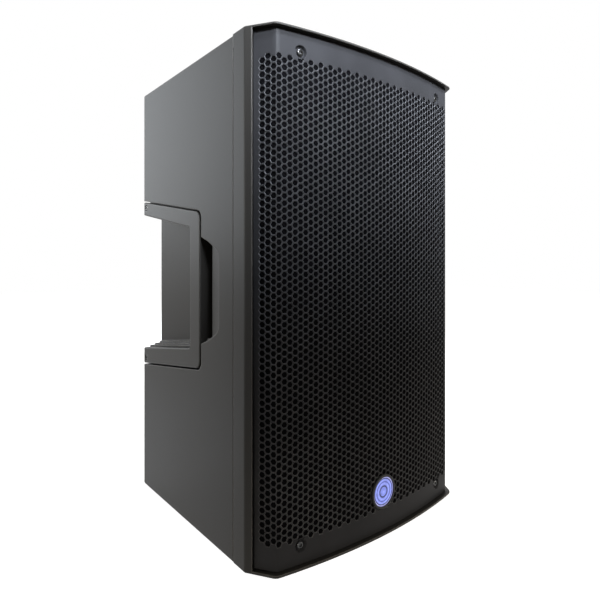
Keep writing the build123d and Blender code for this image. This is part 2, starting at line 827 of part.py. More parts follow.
# ================================================================ woofer
woofer_axis = Axis((0, 0, woofer_z), (0, 1, 0))
woofer_section = Plane(origin=(0, 0, woofer_z), x_dir=(0, 1, 0), z_dir=(1, 0, 0))
flange_y = baffle_y - woofer_flange
basket_back_y = baffle_y + basket_depth
magnet_y = basket_back_y + top_plate_thickness
back_plate_y = magnet_y + magnet_thickness
flange_inner_radius = cutout_radius - basket_wall
neck_y = flange_y - surround_wall + cone_depth
spider_y = (neck_y + basket_back_y) / 2
spider_outer_radius = basket_throat - basket_wall
ledge = 3 * basket_wall

with BuildPart() as woofer_basket:
    with BuildSketch(woofer_section):
        with BuildLine():
            Polyline((baffle_y, woofer_radius), (flange_y, woofer_radius),
                     (flange_y, flange_inner_radius), (baffle_y, flange_inner_radius),
                     (spider_y, basket_throat - basket_wall), (spider_y, spider_outer_radius - ledge),
                     (spider_y + basket_wall, spider_outer_radius - ledge),
                     (spider_y + basket_wall, basket_throat - basket_wall),
                     (basket_back_y - basket_wall, basket_throat - basket_wall),
                     (basket_back_y - basket_wall, top_plate_radius / 2),
                     (basket_back_y, top_plate_radius / 2), (basket_back_y, basket_throat),
                     (spider_y, basket_throat), (baffle_y, cutout_radius - fit), close=True)
        make_face()
    revolve(axis=woofer_axis)
    # windows between the spokes
    with BuildSketch(facing(0, baffle_y, woofer_z, (0, 1, 0))):
        Circle(flange_inner_radius - basket_wall)
        Circle(basket_throat + basket_wall, mode=Mode.SUBTRACT)
        with PolarLocations((flange_inner_radius + basket_throat) / 2, basket_spokes):
            Rectangle(flange_inner_radius, basket_spoke_width, mode=Mode.SUBTRACT)
    extrude(amount=basket_depth, mode=Mode.SUBTRACT)
    with BuildSketch(facing(0, flange_y, woofer_z)):
        with PolarLocations(woofer_screw_circle, woofer_screw_count):
            Circle(screw_radius + fit)
    extrude(amount=-woofer_flange, mode=Mode.SUBTRACT)
save(woofer_basket.part, "woofer_basket")

with BuildPart() as woofer_gasket:
    with BuildSketch(facing(0, flange_y, woofer_z)):
        Circle(woofer_radius - gasket_thickness)
        Circle(surround_rim_radius, mode=Mode.SUBTRACT)
        with PolarLocations(woofer_screw_circle, woofer_screw_count):
            Circle(screw_head_radius + fit, mode=Mode.SUBTRACT)
    extrude(amount=gasket_thickness)
save(woofer_gasket.part, "woofer_gasket")

with BuildPart() as woofer_surround:
    with BuildSketch(woofer_section):
        roll_start = cone_radius + suspension_gap
        roll_middle = (roll_start + flange_inner_radius) / 2
        with BuildLine():
            ThreePointArc((flange_y, roll_start), (flange_y - roll_height, roll_middle),
                          (flange_y, flange_inner_radius))
            Polyline((flange_y, flange_inner_radius), (flange_y, surround_rim_radius),
                     (flange_y - surround_wall, surround_rim_radius),
                     (flange_y - surround_wall, flange_inner_radius))
            ThreePointArc((flange_y - surround_wall, flange_inner_radius),
                          (flange_y - roll_height - surround_wall, roll_middle),
                          (flange_y - surround_wall, roll_start))
            Line((flange_y - surround_wall, roll_start), (flange_y, roll_start))
        make_face()
    revolve(axis=woofer_axis)
save(woofer_surround.part, "woofer_surround")


def cone_y(radius):
    """Y of the cone's front face at a radius."""
    share = (cone_radius - radius) / (cone_radius - coil_radius)
    return flange_y - surround_wall + cone_depth * share


with BuildPart() as woofer_cone:
    with BuildSketch(woofer_section):
        with BuildLine():
            Polyline((cone_y(cone_radius), cone_radius), (cone_y(coil_radius), coil_radius),
                     (cone_y(coil_radius) + cone_wall, coil_radius),
                     (cone_y(cone_radius) + cone_wall, cone_radius), close=True)
        make_face()
    revolve(axis=woofer_axis)
save(woofer_cone.part, "woofer_cone")

dome_radius = (dust_cap_radius ** 2 + dust_cap_rise ** 2) / (2 * dust_cap_rise)
dome_centre_y = cone_y(dust_cap_radius) - dust_cap_rise + dome_radius


def dome_point(radius, inset=0.0):
    """Point on the dust cap's dome at a radius from the woofer's axis, moved inwards."""
    return dome_centre_y - sqrt((dome_radius - inset) ** 2 - radius ** 2), radius


with BuildPart() as woofer_dust_cap:
    with BuildSketch(woofer_section):
        rim, inner_rim = dust_cap_radius, dust_cap_radius - 2 * cone_wall
        with BuildLine():
            ThreePointArc(dome_point(0), dome_point(rim / 2), dome_point(rim))
            Polyline(dome_point(rim), (cone_y(inner_rim), inner_rim),
                     dome_point(inner_rim, cone_wall))
            ThreePointArc(dome_point(inner_rim, cone_wall), dome_point(rim / 2, cone_wall),
                          dome_point(0, cone_wall))
            Line(dome_point(0, cone_wall), dome_point(0))
        make_face()
    revolve(axis=woofer_axis)
save(woofer_dust_cap.part, "woofer_dust_cap")

with BuildPart() as woofer_spider:
    with BuildSketch(woofer_section):
        pitch = (spider_outer_radius - coil_radius - suspension_gap) / spider_waves
        edge = [(spider_y - spider_wave * (step % 2), coil_radius + suspension_gap
                 + pitch * step / 2) for step in range(2 * spider_waves + 1)]
        back = [(y - spider_wall, radius) for y, radius in reversed(edge)]
        with BuildLine():
            Polyline(*edge, *back, close=True)
        make_face()
    revolve(axis=woofer_axis)
save(woofer_spider.part, "woofer_spider")

with BuildPart() as woofer_voice_coil:
    with BuildSketch(woofer_section):
        with BuildLine():
            Polyline((cone_y(coil_radius) - cone_wall, coil_radius - coil_former),
                     (cone_y(coil_radius) - cone_wall, coil_radius),
                     (basket_back_y - coil_overhang, coil_radius),
                     (basket_back_y - coil_overhang, coil_radius + coil_winding),
                     (magnet_y + coil_overhang, coil_radius + coil_winding),
                     (magnet_y + coil_overhang, coil_radius - coil_former), close=True)
        make_face()
    revolve(axis=woofer_axis)
save(woofer_voice_coil.part, "woofer_voice_coil")


def woofer_ring(outer, inner, start_y, thickness):
    """Flat ring of the woofer's motor."""
    with BuildPart() as ring:
        with BuildSketch(facing(0, start_y, woofer_z, (0, 1, 0))):
            Circle(outer)
            Circle(inner, mode=Mode.SUBTRACT)
        extrude(amount=thickness)
        chamfer(ring.edges().filter_by(GeomType.CIRCLE), motor_chamfer)
    return ring.part


magnet_bore = coil_radius + coil_winding + coil_clearance
save(woofer_ring(top_plate_radius, magnet_bore, basket_back_y, top_plate_thickness),
     "woofer_top_plate")
save(woofer_ring(magnet_radius, top_plate_radius / 2, magnet_y, magnet_thickness),
     "woofer_magnet")
with BuildPart() as woofer_back_plate:
    add(woofer_ring(top_plate_radius, vent_radius, back_plate_y, back_plate_thickness))
    with BuildSketch(facing(0, back_plate_y, woofer_z)):
        Circle(coil_radius - coil_former - coil_clearance)
        Circle(vent_radius, mode=Mode.SUBTRACT)
    extrude(amount=back_plate_y - basket_back_y)
save(woofer_back_plate.part, "woofer_back_plate")

bolt_angles = [radians(360 / woofer_screw_count * step) for step in range(woofer_screw_count)]
save(pan_screws([facing(woofer_screw_circle * cos(angle), flange_y,
                        woofer_z + woofer_screw_circle * sin(angle)) for angle in bolt_angles],
                woofer_flange + baffle_thickness), "woofer_screws")

# ================================================================ horn and compression driver
horn_back_y = baffle_y + horn_depth
driver_y = horn_back_y + horn_collar

with BuildPart() as horn:
    for grow, mode in ((horn_wall, Mode.ADD), (0.0, Mode.SUBTRACT)):
        for share in horn_shares:
            width = horn_mouth_width * (2 * throat_radius / horn_mouth_width) ** share
            height = horn_mouth_height * (2 * throat_radius / horn_mouth_height) ** share
            corner = horn_corner + (throat_radius - horn_corner - fit) * share
            with BuildSketch(facing(0, baffle_y + horn_depth * share, horn_z)):
                RectangleRounded(width + 2 * grow, height + 2 * grow, corner + grow)
        loft(ruled=True, mode=mode)
    with BuildSketch(facing(0, baffle_y, horn_z)):
        RectangleRounded(horn_flange_width, horn_flange_height, horn_corner)
        RectangleRounded(horn_mouth_width, horn_mouth_height, horn_corner, mode=Mode.SUBTRACT)
    extrude(amount=horn_flange_thickness)
    with BuildSketch(facing(0, driver_y, horn_z)):
        Circle(horn_collar_radius)
        Circle(throat_radius, mode=Mode.SUBTRACT)
    extrude(amount=horn_collar)
    with BuildSketch(facing(0, baffle_y, horn_z)):
        with Locations(*[(x, z - horn_z) for x, z in horn_screw_places]):
            Circle(screw_radius + fit)
    extrude(amount=horn_flange_thickness, mode=Mode.SUBTRACT)
save(horn.part, "horn")
save(pan_screws([facing(x, baffle_y - horn_flange_thickness, z) for x, z in horn_screw_places],
                horn_flange_thickness + baffle_thickness), "horn_screws")

with BuildPart() as compression_driver:
    with BuildSketch(facing(0, driver_y, horn_z, (0, 1, 0))):
        Circle(driver_radius)
    extrude(amount=driver_length)
    fillet(compression_driver.edges().filter_by(GeomType.CIRCLE), motor_chamfer)
save(compression_driver.part, "compression_driver")

with BuildPart() as compression_driver_cap:
    with BuildSketch(facing(0, driver_y + driver_length, horn_z, (0, 1, 0))):
        Circle(driver_cap_radius)
    extrude(amount=driver_cap_length)
    fillet(compression_driver_cap.edges().group_by(Axis.Y)[-1], driver_cap_length / 3)
save(compression_driver_cap.part, "compression_driver_cap")

# ================================================================ bass ports
with BuildPart() as port_tube:
    tube_radius = port_radius + port_wall
    with BuildSketch(Plane(origin=(port_across, 0, port_z), x_dir=(0, 1, 0), z_dir=(1, 0, 0))):
        with BuildLine():
            Polyline((baffle_y - port_lip, port_radius + port_flare),
                     (baffle_y - port_lip, tube_radius + port_flange),
                     (baffle_y, tube_radius + port_flange), (baffle_y, tube_radius),
                     (baffle_y + port_length, tube_radius),
                     (baffle_y + port_length, port_radius),
                     (baffle_y - port_lip + port_flare, port_radius))
            RadiusArc((baffle_y - port_lip + port_flare, port_radius),
                      (baffle_y - port_lip, port_radius + port_flare), port_flare)
        make_face()
    revolve(axis=Axis((port_across, 0, port_z), (0, 1, 0)))
save(port_tube.part, "port_tube_right")
save(port_tube.part.mirror(Plane.YZ), "port_tube_left")

# ================================================================ amplifier module
seat_opening_width = amp_panel_width - 2 * amp_ledge
seat_opening_height = amp_panel_height - 2 * amp_ledge
sink_height = amp_panel_height / 2 - sink_top_gap - fin_length / 2
connectors = {"combo_jack_1": combo_column_1, "combo_jack_2": combo_column_2,
              "link_output": link_column}

with BuildPart() as amp_panel:
    with BuildSketch(rear_facing(0, panel_back_y, amp_z)):
        RectangleRounded(amp_panel_width, amp_panel_height, amp_panel_corner)
        with Locations(*panel_screw_spots):
            Circle(screw_radius + fit, mode=Mode.SUBTRACT)
        with Locations(*[(column, socket_row) for column in connectors.values()]):
            Circle(connector_radius + fit, mode=Mode.SUBTRACT)
            with Locations((0, latch_rise)):
                Rectangle(latch_width + 2 * latch_gap, latch_height + 2 * latch_gap,
                          mode=Mode.SUBTRACT)
        with Locations((combo_column_1, knob_row), (combo_column_2, knob_row),
                       (encoder_column, knob_row)):
            Circle(shaft_radius + latch_gap, mode=Mode.SUBTRACT)
        with Locations((inlet_column, power_row)):
            Rectangle(inlet_body_width + 2 * fit, inlet_body_height + 2 * fit, mode=Mode.SUBTRACT)
        with Locations((rocker_column, power_row)):
            Rectangle(rocker_width + 2 * rocker_rim, rocker_height + 2 * rocker_rim,
                      mode=Mode.SUBTRACT)
    extrude(amount=amp_panel_thickness)
save(amp_panel.part, "amp_panel")


def panel_place(u, v, out=0.0):
    """A plane on the amplifier panel's face, facing out of the back."""
    return rear_facing(-u, panel_y + out, amp_z + v)


save(pan_screws([panel_place(u, v) for u, v in panel_screw_spots], panel_screw_length),
     "amp_panel_screws")

with BuildPart() as heat_sink:
    with BuildSketch(panel_place(0, sink_height)):
        Rectangle(sink_width, fin_length)
    extrude(amount=sink_base)
    with BuildSketch(panel_place(0, sink_height, sink_base)):
        with GridLocations((sink_width - fin_thickness) / (fin_count - 1), 0, fin_count, 1):
            Rectangle(fin_thickness, fin_length)
    extrude(amount=fin_height)
save(heat_sink.part, "heat_sink")

for name, column in connectors.items():
    with BuildPart() as connector:
        with BuildSketch(panel_place(column, socket_row)):
            with Locations((0, socket_drop)):
                RectangleRounded(connector_width, connector_height, socket_drop)
        extrude(amount=connector_flange)
        with BuildSketch(panel_place(column, socket_row)):
            Circle(connector_radius)
        extrude(amount=-connector_depth)
        with BuildSketch(panel_place(column, socket_row, connector_flange)):
            Circle(socket_radius)
        extrude(amount=-socket_depth, mode=Mode.SUBTRACT)
        if name.startswith("combo"):
            with BuildSketch(panel_place(column, socket_row + latch_rise, connector_flange)):
                Rectangle(latch_width + 2 * latch_gap, latch_height + 2 * latch_gap)
            extrude(amount=-connector_flange - latch_well, mode=Mode.SUBTRACT)
            with BuildSketch(panel_place(column, socket_row, connector_flange - socket_depth)):
                Circle(jack_radius)
            extrude(amount=-jack_depth, mode=Mode.SUBTRACT)
        else:
            with BuildSketch(panel_place(column, socket_row, connector_flange - socket_depth)):
                with PolarLocations(socket_radius / 2, 3, start_angle=90):
                    Circle(pin_radius)
            extrude(amount=pin_length)
    save(connector.part, name)

for name, column in (("latch_tab_1", combo_column_1), ("latch_tab_2", combo_column_2)):
    with BuildPart() as latch_tab:
        with BuildSketch(panel_place(column, socket_row + latch_rise,
                                     connector_flange + latch_proud)):
            Rectangle(latch_width, latch_height)
        extrude(amount=-latch_proud - connector_flange)
        chamfer(latch_tab.edges().group_by(Axis.Y)[-1], latch_proud / 2)
    save(latch_tab.part, name)

with BuildPart() as potentiometers:
    for column, row in ((combo_column_1, knob_row), (combo_column_2, knob_row),
                        (encoder_column, knob_row)):
        with BuildSketch(panel_place(column, row, -amp_panel_thickness)):
            Rectangle(pot_size, pot_size)
        extrude(amount=-pot_depth)
        with BuildSketch(panel_place(column, row, -amp_panel_thickness)):
            Circle(shaft_radius)
        extrude(amount=amp_panel_thickness + knob_gap + knob_length - knob_cap)
save(potentiometers.part, "potentiometers")

for name, column, radius in (("volume_knob_1", combo_column_1, knob_radius),
                             ("volume_knob_2", combo_column_2, knob_radius),
                             ("encoder_knob", encoder_column, encoder_radius)):
    with BuildPart() as knob:
        with BuildSketch(panel_place(column, knob_row, knob_gap)):
            Circle(radius)
            with PolarLocations(radius + flute_radius / 2, flute_count):
                Circle(flute_radius, mode=Mode.SUBTRACT)
        extrude(amount=knob_length)
        chamfer(knob.edges().group_by(Axis.Y)[-1], knob_cap / 2)
        with BuildSketch(panel_place(column, knob_row, knob_gap)):
            Circle(shaft_radius + shaft_clearance)
        extrude(amount=knob_length - knob_cap + shaft_clearance, mode=Mode.SUBTRACT)
        # pointer line cut across the top
        with BuildSketch(panel_place(column, knob_row + radius / 2, knob_gap + knob_length)):
            Rectangle(pointer_width, radius)
        extrude(amount=-pointer_depth, mode=Mode.SUBTRACT)
    save(knob.part, name)

with BuildPart() as display_window:
    with BuildSketch(panel_place(encoder_column, socket_row)):
        RectangleRounded(display_width, display_height, socket_drop)
    extrude(amount=connector_flange)
    chamfer(display_window.faces().sort_by(Axis.Y)[-1].edges(), latch_proud / 2)
save(display_window.part, "display_window")

with BuildPart() as mains_inlet:
    with BuildSketch(panel_place(inlet_column, power_row)):
        RectangleRounded(inlet_width, inlet_height, socket_drop)
    extrude(amount=connector_flange)
    with BuildSketch(panel_place(inlet_column, power_row)):
        Rectangle(inlet_body_width, inlet_body_height)
    extrude(amount=-connector_depth)
    with BuildSketch(panel_place(inlet_column, power_row, connector_flange)):
        Rectangle(inlet_cavity_width, inlet_cavity_height)
    extrude(amount=-inlet_cavity_depth, mode=Mode.SUBTRACT)
    with BuildSketch(panel_place(inlet_column, power_row, connector_flange - inlet_cavity_depth)):
        with Locations((-inlet_pin_pitch, -pin_radius), (0, pin_radius), (inlet_pin_pitch, -pin_radius)):
            Rectangle(2 * pin_radius, inlet_pin_width)
    extrude(amount=pin_length)
save(mains_inlet.part, "mains_inlet")

with BuildPart() as rocker_frame:
    with BuildSketch(panel_place(rocker_column, power_row)):
        RectangleRounded(rocker_width + 2 * rocker_rim + 2 * rocker_rim,
                         rocker_height + 2 * rocker_rim + 2 * rocker_rim, socket_drop)
    extrude(amount=connector_flange)
    with BuildSketch(panel_place(rocker_column, power_row)):
        Rectangle(rocker_width + 2 * rocker_rim - 2 * fit, rocker_height + 2 * rocker_rim - 2 * fit)
    extrude(amount=-connector_depth)
    with BuildSketch(panel_place(rocker_column, power_row, connector_flange)):
        Rectangle(rocker_width + 2 * rocker_gap, rocker_height + 2 * rocker_gap)
    extrude(amount=-rocker_well, mode=Mode.SUBTRACT)
save(rocker_frame.part, "rocker_frame")


def rocker_rim_point(angle):
    """Point on the rocker's round ends, by its angle from straight out of the panel."""
    reach = rocker_height / 2
    return reach * cos(radians(angle)), reach * sin(radians(angle))


rocker_x = -rocker_column
rocker_axis = Axis((rocker_x, panel_y, amp_z + power_row), (1, 0, 0))
with BuildPart() as power_rocker:
    with BuildSketch(Plane(origin=(rocker_x - rocker_width / 2, panel_y, amp_z + power_row),
                           x_dir=(0, 1, 0), z_dir=(1, 0, 0))):
        with BuildLine():
            Polyline(rocker_rim_point(rocker_spread), (connector_flange, 0),
                     rocker_rim_point(-rocker_spread))
            ThreePointArc(rocker_rim_point(-rocker_spread), rocker_rim_point(-90),
                          rocker_rim_point(-rocker_back))
            Line(rocker_rim_point(-rocker_back), rocker_rim_point(rocker_back))
            ThreePointArc(rocker_rim_point(rocker_back), rocker_rim_point(90),
                          rocker_rim_point(rocker_spread))
        make_face()
    extrude(amount=rocker_width)
save(power_rocker.part.rotate(rocker_axis, rocker_tilt), "power_rocker")

with BuildPart() as amp_chassis:
    with BuildSketch(facing(0, panel_back_y, amp_z)):
        Rectangle(seat_opening_width - 2 * chassis_margin, seat_opening_height - 2 * chassis_margin)
    extrude(amount=chassis_depth)
    with BuildSketch(facing(0, panel_back_y, amp_z)):
        Rectangle(seat_opening_width - 2 * chassis_margin - 2 * chassis_wall,
                  seat_opening_height - 2 * chassis_margin - 2 * chassis_wall)
    extrude(amount=chassis_depth - chassis_wall, mode=Mode.SUBTRACT)
save(amp_chassis.part, "amp_chassis")

board_y = panel_back_y - chassis_depth + chassis_wall + standoff_height


def circuit_board(name, row, capacitor_count, blocks):
    """Board on four standoffs in the chassis, with a row of capacitors under a row of blocks."""
    with BuildPart() as board:
        with BuildSketch(rear_facing(0, board_y, amp_z + row)):
            Rectangle(board_width, board_height)
        extrude(amount=board_thickness)
        with BuildSketch(rear_facing(0, board_y, amp_z + row)):
            with GridLocations(board_width - 4 * standoff_radius,
                               board_height - 4 * standoff_radius, 2, 2):
                Circle(standoff_radius)
        extrude(amount=-standoff_height)
        with BuildSketch(rear_facing(0, board_y + board_thickness, amp_z + row - board_height / 4)):
            with GridLocations(capacitor_pitch, 0, capacitor_count, 1):
                Circle(capacitor_radius)
        extrude(amount=capacitor_height)
        for across, width, length, height in blocks:
            with BuildSketch(rear_facing(across, board_y + board_thickness,
                                         amp_z + row + board_height / 4)):
                Rectangle(width, length)
            extrude(amount=height)
    save(board.part, name)


circuit_board("power_supply_board", -board_row, 2,
              [(-transformer_width, transformer_width, transformer_length, transformer_height),
               (choke_width, choke_width, choke_length, choke_height)])
circuit_board("amplifier_board", board_row, 3,
              [(0, spreader_width, spreader_thickness, spreader_height)])

# ================================================================ underside
with BuildPart() as pole_socket:
    with BuildSketch(Plane(origin=(0, pole_y, 0), x_dir=(1, 0, 0), z_dir=(0, -1, 0))):
        with BuildLine():
            Polyline((pole_radius, bottom_z), (pole_flange_radius, bottom_z),
                     (pole_flange_radius, bottom_z + pole_flange),
                     (pole_radius + pole_wall, bottom_z + pole_flange),
                     (pole_radius + pole_wall, bottom_z + pole_depth + pole_wall),
                     (0, bottom_z + pole_depth + pole_wall), (0, bottom_z + pole_depth),
                     (pole_radius, bottom_z + pole_depth), close=True)
        make_face()
    revolve(axis=Axis((0, pole_y, 0), (0, 0, 1)))
    with BuildSketch(floor_facing(0, pole_y, bottom_z)):
        with PolarLocations(pole_screw_circle, 4, start_angle=45):
            Circle(screw_radius + fit)
    extrude(amount=-pole_flange, mode=Mode.SUBTRACT)
save(pole_socket.part, "pole_socket")
with BuildPart() as pole_socket_screws:
    with BuildSketch(floor_facing(0, pole_y, bottom_z)):
        with PolarLocations(pole_screw_circle, 4, start_angle=45):
            Circle(screw_radius)
    extrude(amount=-pole_flange)
    with BuildSketch(floor_facing(0, pole_y, bottom_z)):
        with PolarLocations(pole_screw_circle, 4, start_angle=45):
            Circle(screw_head_radius)
    extrude(amount=screw_head_height)
save(pole_socket_screws.part, "pole_socket_screws")

with BuildPart() as rubber_feet:
    for x, y in foot_places:
        with BuildSketch(floor_facing(x, y, bottom_z + foot_recess)):
            Circle(foot_radius)
        extrude(amount=foot_recess + foot_height, taper=foot_taper)
save(rubber_feet.part, "rubber_feet")

# ================================================================ fixings and lining
save(pan_screws([facing(x, baffle_y + shell_screw_sink, z) for x, z in shell_screw_places],
                shell_screw_length),
                "shell_screws")
save(pan_screws([Plane(origin=(side * (half_width - handle_screw_sink), y, z), x_dir=(0, 1, 0),
                       z_dir=(side, 0, 0)) for side in (-1, 1) for y, z in handle_screw_places],
                handle_arm_depth - handle_screw_sink), "handle_screws")

lining_width = cabinet_width - 2 * wall
lining_front_y = seam_y + 4 * boss_radius
lining_length = panel_back_y - lining_gap - lining_front_y
lining_top_z = rear_top_z - wall
lining_height = lining_top_z - (bottom_z + handle_top_rear + lining_margin)
with BuildPart() as damping_lining:
    with BuildSketch(Plane.XY.offset(lining_top_z)):
        with Locations((0, lining_front_y + lining_length / 2)):
            Rectangle(lining_width, lining_length)
    extrude(amount=-lining_height)
    with BuildSketch(Plane.XY.offset(lining_top_z - lining_thickness)):
        with Locations((0, lining_front_y + lining_length / 2)):
            Rectangle(lining_width - 2 * lining_thickness, lining_length)
    extrude(amount=-lining_height, mode=Mode.SUBTRACT)
save(damping_lining.part, "damping_lining")
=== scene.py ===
"""Active loudspeaker cabinet: camera, light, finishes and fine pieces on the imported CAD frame.

Lengths are in metres, in the frame's own axes: the front faces -Y and the floor is under +Z.
"""

import json
import math

import bmesh
import bpy
import numpy as np
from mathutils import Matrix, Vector


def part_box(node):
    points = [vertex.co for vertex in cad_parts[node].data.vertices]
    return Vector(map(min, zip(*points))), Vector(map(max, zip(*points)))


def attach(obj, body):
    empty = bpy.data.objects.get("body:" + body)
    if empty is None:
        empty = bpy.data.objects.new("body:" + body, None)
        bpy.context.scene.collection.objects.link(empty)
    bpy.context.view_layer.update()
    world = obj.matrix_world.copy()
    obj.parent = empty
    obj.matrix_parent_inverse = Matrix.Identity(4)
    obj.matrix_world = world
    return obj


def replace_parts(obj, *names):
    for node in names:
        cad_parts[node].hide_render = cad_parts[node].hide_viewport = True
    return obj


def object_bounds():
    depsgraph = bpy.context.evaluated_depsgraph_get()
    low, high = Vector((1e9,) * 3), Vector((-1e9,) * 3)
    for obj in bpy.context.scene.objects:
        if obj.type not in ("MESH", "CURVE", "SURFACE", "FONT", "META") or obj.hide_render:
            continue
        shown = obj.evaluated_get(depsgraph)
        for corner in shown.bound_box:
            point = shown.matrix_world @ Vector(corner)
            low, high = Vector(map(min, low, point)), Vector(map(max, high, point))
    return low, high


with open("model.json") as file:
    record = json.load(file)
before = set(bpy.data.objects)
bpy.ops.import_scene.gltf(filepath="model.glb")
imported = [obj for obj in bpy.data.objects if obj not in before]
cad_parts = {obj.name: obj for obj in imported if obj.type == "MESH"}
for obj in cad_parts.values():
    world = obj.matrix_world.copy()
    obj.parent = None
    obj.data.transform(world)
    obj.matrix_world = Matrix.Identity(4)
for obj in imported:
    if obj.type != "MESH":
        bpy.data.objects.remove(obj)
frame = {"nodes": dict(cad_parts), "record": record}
cad_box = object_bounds()
floor_level = cad_box[0].z

# ---------------------------------------------------------------- camera
# the photograph's camera: place, turn about the vertical, focal length per image width, shift
CAMERA_PLACE = Vector((-0.4852, -0.5959, 0.3520))
CAMERA_YAW = math.radians(39.002)
FOCAL_PER_WIDTH = 494.85 / 600.0
SENSOR_WIDTH = 36.0
LENS_SHIFT = -0.0602
NEAREST_SEEN = 0.01


def set_camera():
    """Level camera off the front's left corner, so upright edges stay upright; a small shift down."""
    data = bpy.data.cameras.new("camera")
    data.sensor_width = SENSOR_WIDTH
    data.lens = SENSOR_WIDTH * FOCAL_PER_WIDTH
    data.shift_y = LENS_SHIFT
    data.clip_start = NEAREST_SEEN
    camera = bpy.data.objects.new("camera", data)
    camera.location = CAMERA_PLACE
    camera.rotation_euler = (math.radians(90), 0, -CAMERA_YAW)
    bpy.context.scene.collection.objects.link(camera)
    bpy.context.scene.camera = camera


set_camera()
bpy.context.scene.view_settings.view_transform = "Standard"


# ---------------------------------------------------------------- node graphs
class Look:
    """A material's node tree, with short calls for the nodes that the finishes share."""

    def __init__(self, name, roughness=0.5, metallic=0.0, specular=0.5):
        self.material = bpy.data.materials.new(name)
        self.material.use_nodes = True
        self.nodes = self.material.node_tree.nodes
        self.links = self.material.node_tree.links
        self.shader = self.nodes["Principled BSDF"]
        self.set("Roughness", roughness)
        self.set("Metallic", metallic)
        self.set("Specular IOR Level", specular)
        self.place = self.node("TexCoord").outputs["Object"]

    def put(self, target, key, value):
        """Link a socket to a node's input, or set the input to a plain value."""
        socket = target.inputs[key]
        if isinstance(value, bpy.types.NodeSocket):
            self.links.new(value, socket)
        else:
            socket.default_value = value

    def set(self, key, value):
        """Fill in one input of the material's own shader."""
        self.put(self.shader, key, value)

    def node(self, kind, inputs=None, **properties):
        """New shader node with its inputs and properties filled in."""
        made = self.nodes.new("ShaderNode" + kind)
        for key, value in properties.items():
            setattr(made, key, value)
        for key, value in (inputs or {}).items():
            self.put(made, key, value)
        return made

    def stretched(self, x, y, z):
        """Place on the object, scaled differently along each axis."""
        return self.node("Mapping", {"Vector": self.place, "Scale": (x, y, z)}).outputs["Vector"]

    def noise(self, scale, detail=2.0, roughness=0.5, vector=None):
        """Soft noise; scale is in repeats for each metre."""
        return self.node("TexNoise", {"Vector": vector or self.place, "Scale": scale, "Detail": detail,
                                      "Roughness": roughness}).outputs[0]

    def cells(self, scale, feature="F1"):
        """Distances in a pattern of round cells; scale is in cells for each metre."""
        return self.node("TexVoronoi", {"Vector": self.place, "Scale": scale},
                         feature=feature).outputs["Distance"]

    def bands(self, period, direction):
        """Even waves; Blender's wave texture repeats every pi / (10 * scale)."""
        scale = math.pi / (10.0 * period)
        return self.node("TexWave", {"Vector": self.place, "Scale": scale},
                         bands_direction=direction).outputs["Fac"]

    def fit(self, value, start, end, to_start, to_end):
        """Map a range of values onto another, held at its ends."""
        return self.node("MapRange", {"Value": value, "From Min": start, "From Max": end,
                                      "To Min": to_start, "To Max": to_end}).outputs[0]

    def math(self, operation, first, second=0.0):
        """One arithmetic step on numbers or sockets."""
        return self.node("Math", {0: first, 1: second}, operation=operation).outputs[0]

    def mix(self, factor, first, second):
        """Colour between two others: 0 is the first, 1 the second."""
        return self.node("Mix", {0: factor, 6: first, 7: second}, data_type="RGBA").outputs[2]

    def ramp(self, factor, stops):
        """Colours along a factor; stops are (position, colour) from first to last."""
        made = self.node("ValToRGB", {"Fac": factor})
        band = made.color_ramp
        band.elements[0].position, band.elements[0].color = stops[0]
        band.elements[1].position, band.elements[1].color = stops[-1]
        for position, colour in stops[1:-1]:
            band.elements.new(position).color = colour
        return made.outputs["Color"]

    def bump(self, height, strength, distance, normal=None):
        """Normals of a fine relief, on top of the given normals if there are any."""
        made = self.node("Bump", {"Height": height, "Strength": strength, "Distance": distance})
        if normal is not None:
            self.put(made, "Normal", normal)
        return made.outputs["Normal"]

    def rounding(self, radius):
        """Normals that round the sharp edges, and a mask that is 1 on those edges, used to paint
        highlights on them.
        """
        normal = self.node("Bevel", {"Radius": radius}, samples=6).outputs["Normal"]
        flat = self.node("NewGeometry").outputs["Normal"]
        match = self.node("VectorMath", {0: normal, 1: flat}, operation="DOT_PRODUCT").outputs["Value"]
        return normal, self.fit(match, 0.999, 0.93, 0.0, 1.0)

    def crevice(self, reach):
        """Ambient occlusion mask for painted shade: 0 in the open, towards 1 deep in a groove or an
        inside corner.
        """
        open_share = self.node("AmbientOcclusion", {"Distance": reach}, samples=6).outputs["AO"]
        return self.fit(open_share, 0.75, 0.3, 0.0, 1.0)


def grey(value, blue=1.0):
    """Neutral colour, with its blue part scaled."""
    return (value, value, value * blue, 1.0)


def tint(colour, factor):
    """The colour made lighter or darker."""
    return tuple(min(1.0, part * factor) for part in colour[:3]) + (1.0,)


# ---------------------------------------------------------------- finishes
def moulded(name, colour, roughness, grain=0.00045, depth=0.00006, edge=0.0008, wear=1.9,
            specular=0.35, painted_shade_reach=0.0):
    """Moulded plastic: spark-eroded grain, slow tone drift, sharp edges painted lighter as a highlight,
    grooves and inside corners painted darker as shade.
    """
    look = Look(name, specular=specular)
    drift = look.noise(5.0, 3.0)
    mottle = look.noise(0.35 / grain, 3.0, 0.6)
    base = look.mix(look.fit(drift, 0.3, 0.7, 0.0, 1.0), tint(colour, 0.9), tint(colour, 1.1))
    base = look.mix(look.fit(mottle, 0.35, 0.65, 0.0, 0.35), base, tint(colour, 0.75))
    normal = None
    if edge:
        normal, rim = look.rounding(edge)
        # painted highlight: sharp edges made lighter by the wear factor, for light caught on rounded
        # edges
        base = look.mix(look.math("MULTIPLY", rim, 0.7), base, tint(colour, wear))
    if painted_shade_reach:
        # painted shade: grooves and inside corners darkened towards near-black by ambient occlusion
        base = look.mix(look.math("MULTIPLY", look.crevice(painted_shade_reach), 0.75), base, tint(colour, 0.15))
    look.set("Base Color", base)
    pits = look.cells(1.0 / grain)
    height = look.math("ADD", look.math("MULTIPLY", pits, 0.6), look.noise(0.6 / grain, 2.0, 0.7))
    look.set("Normal", look.bump(height, 0.35, depth, normal))
    look.set("Roughness", look.fit(mottle, 0.3, 0.7, roughness - 0.05, roughness + 0.06))
    return look.material


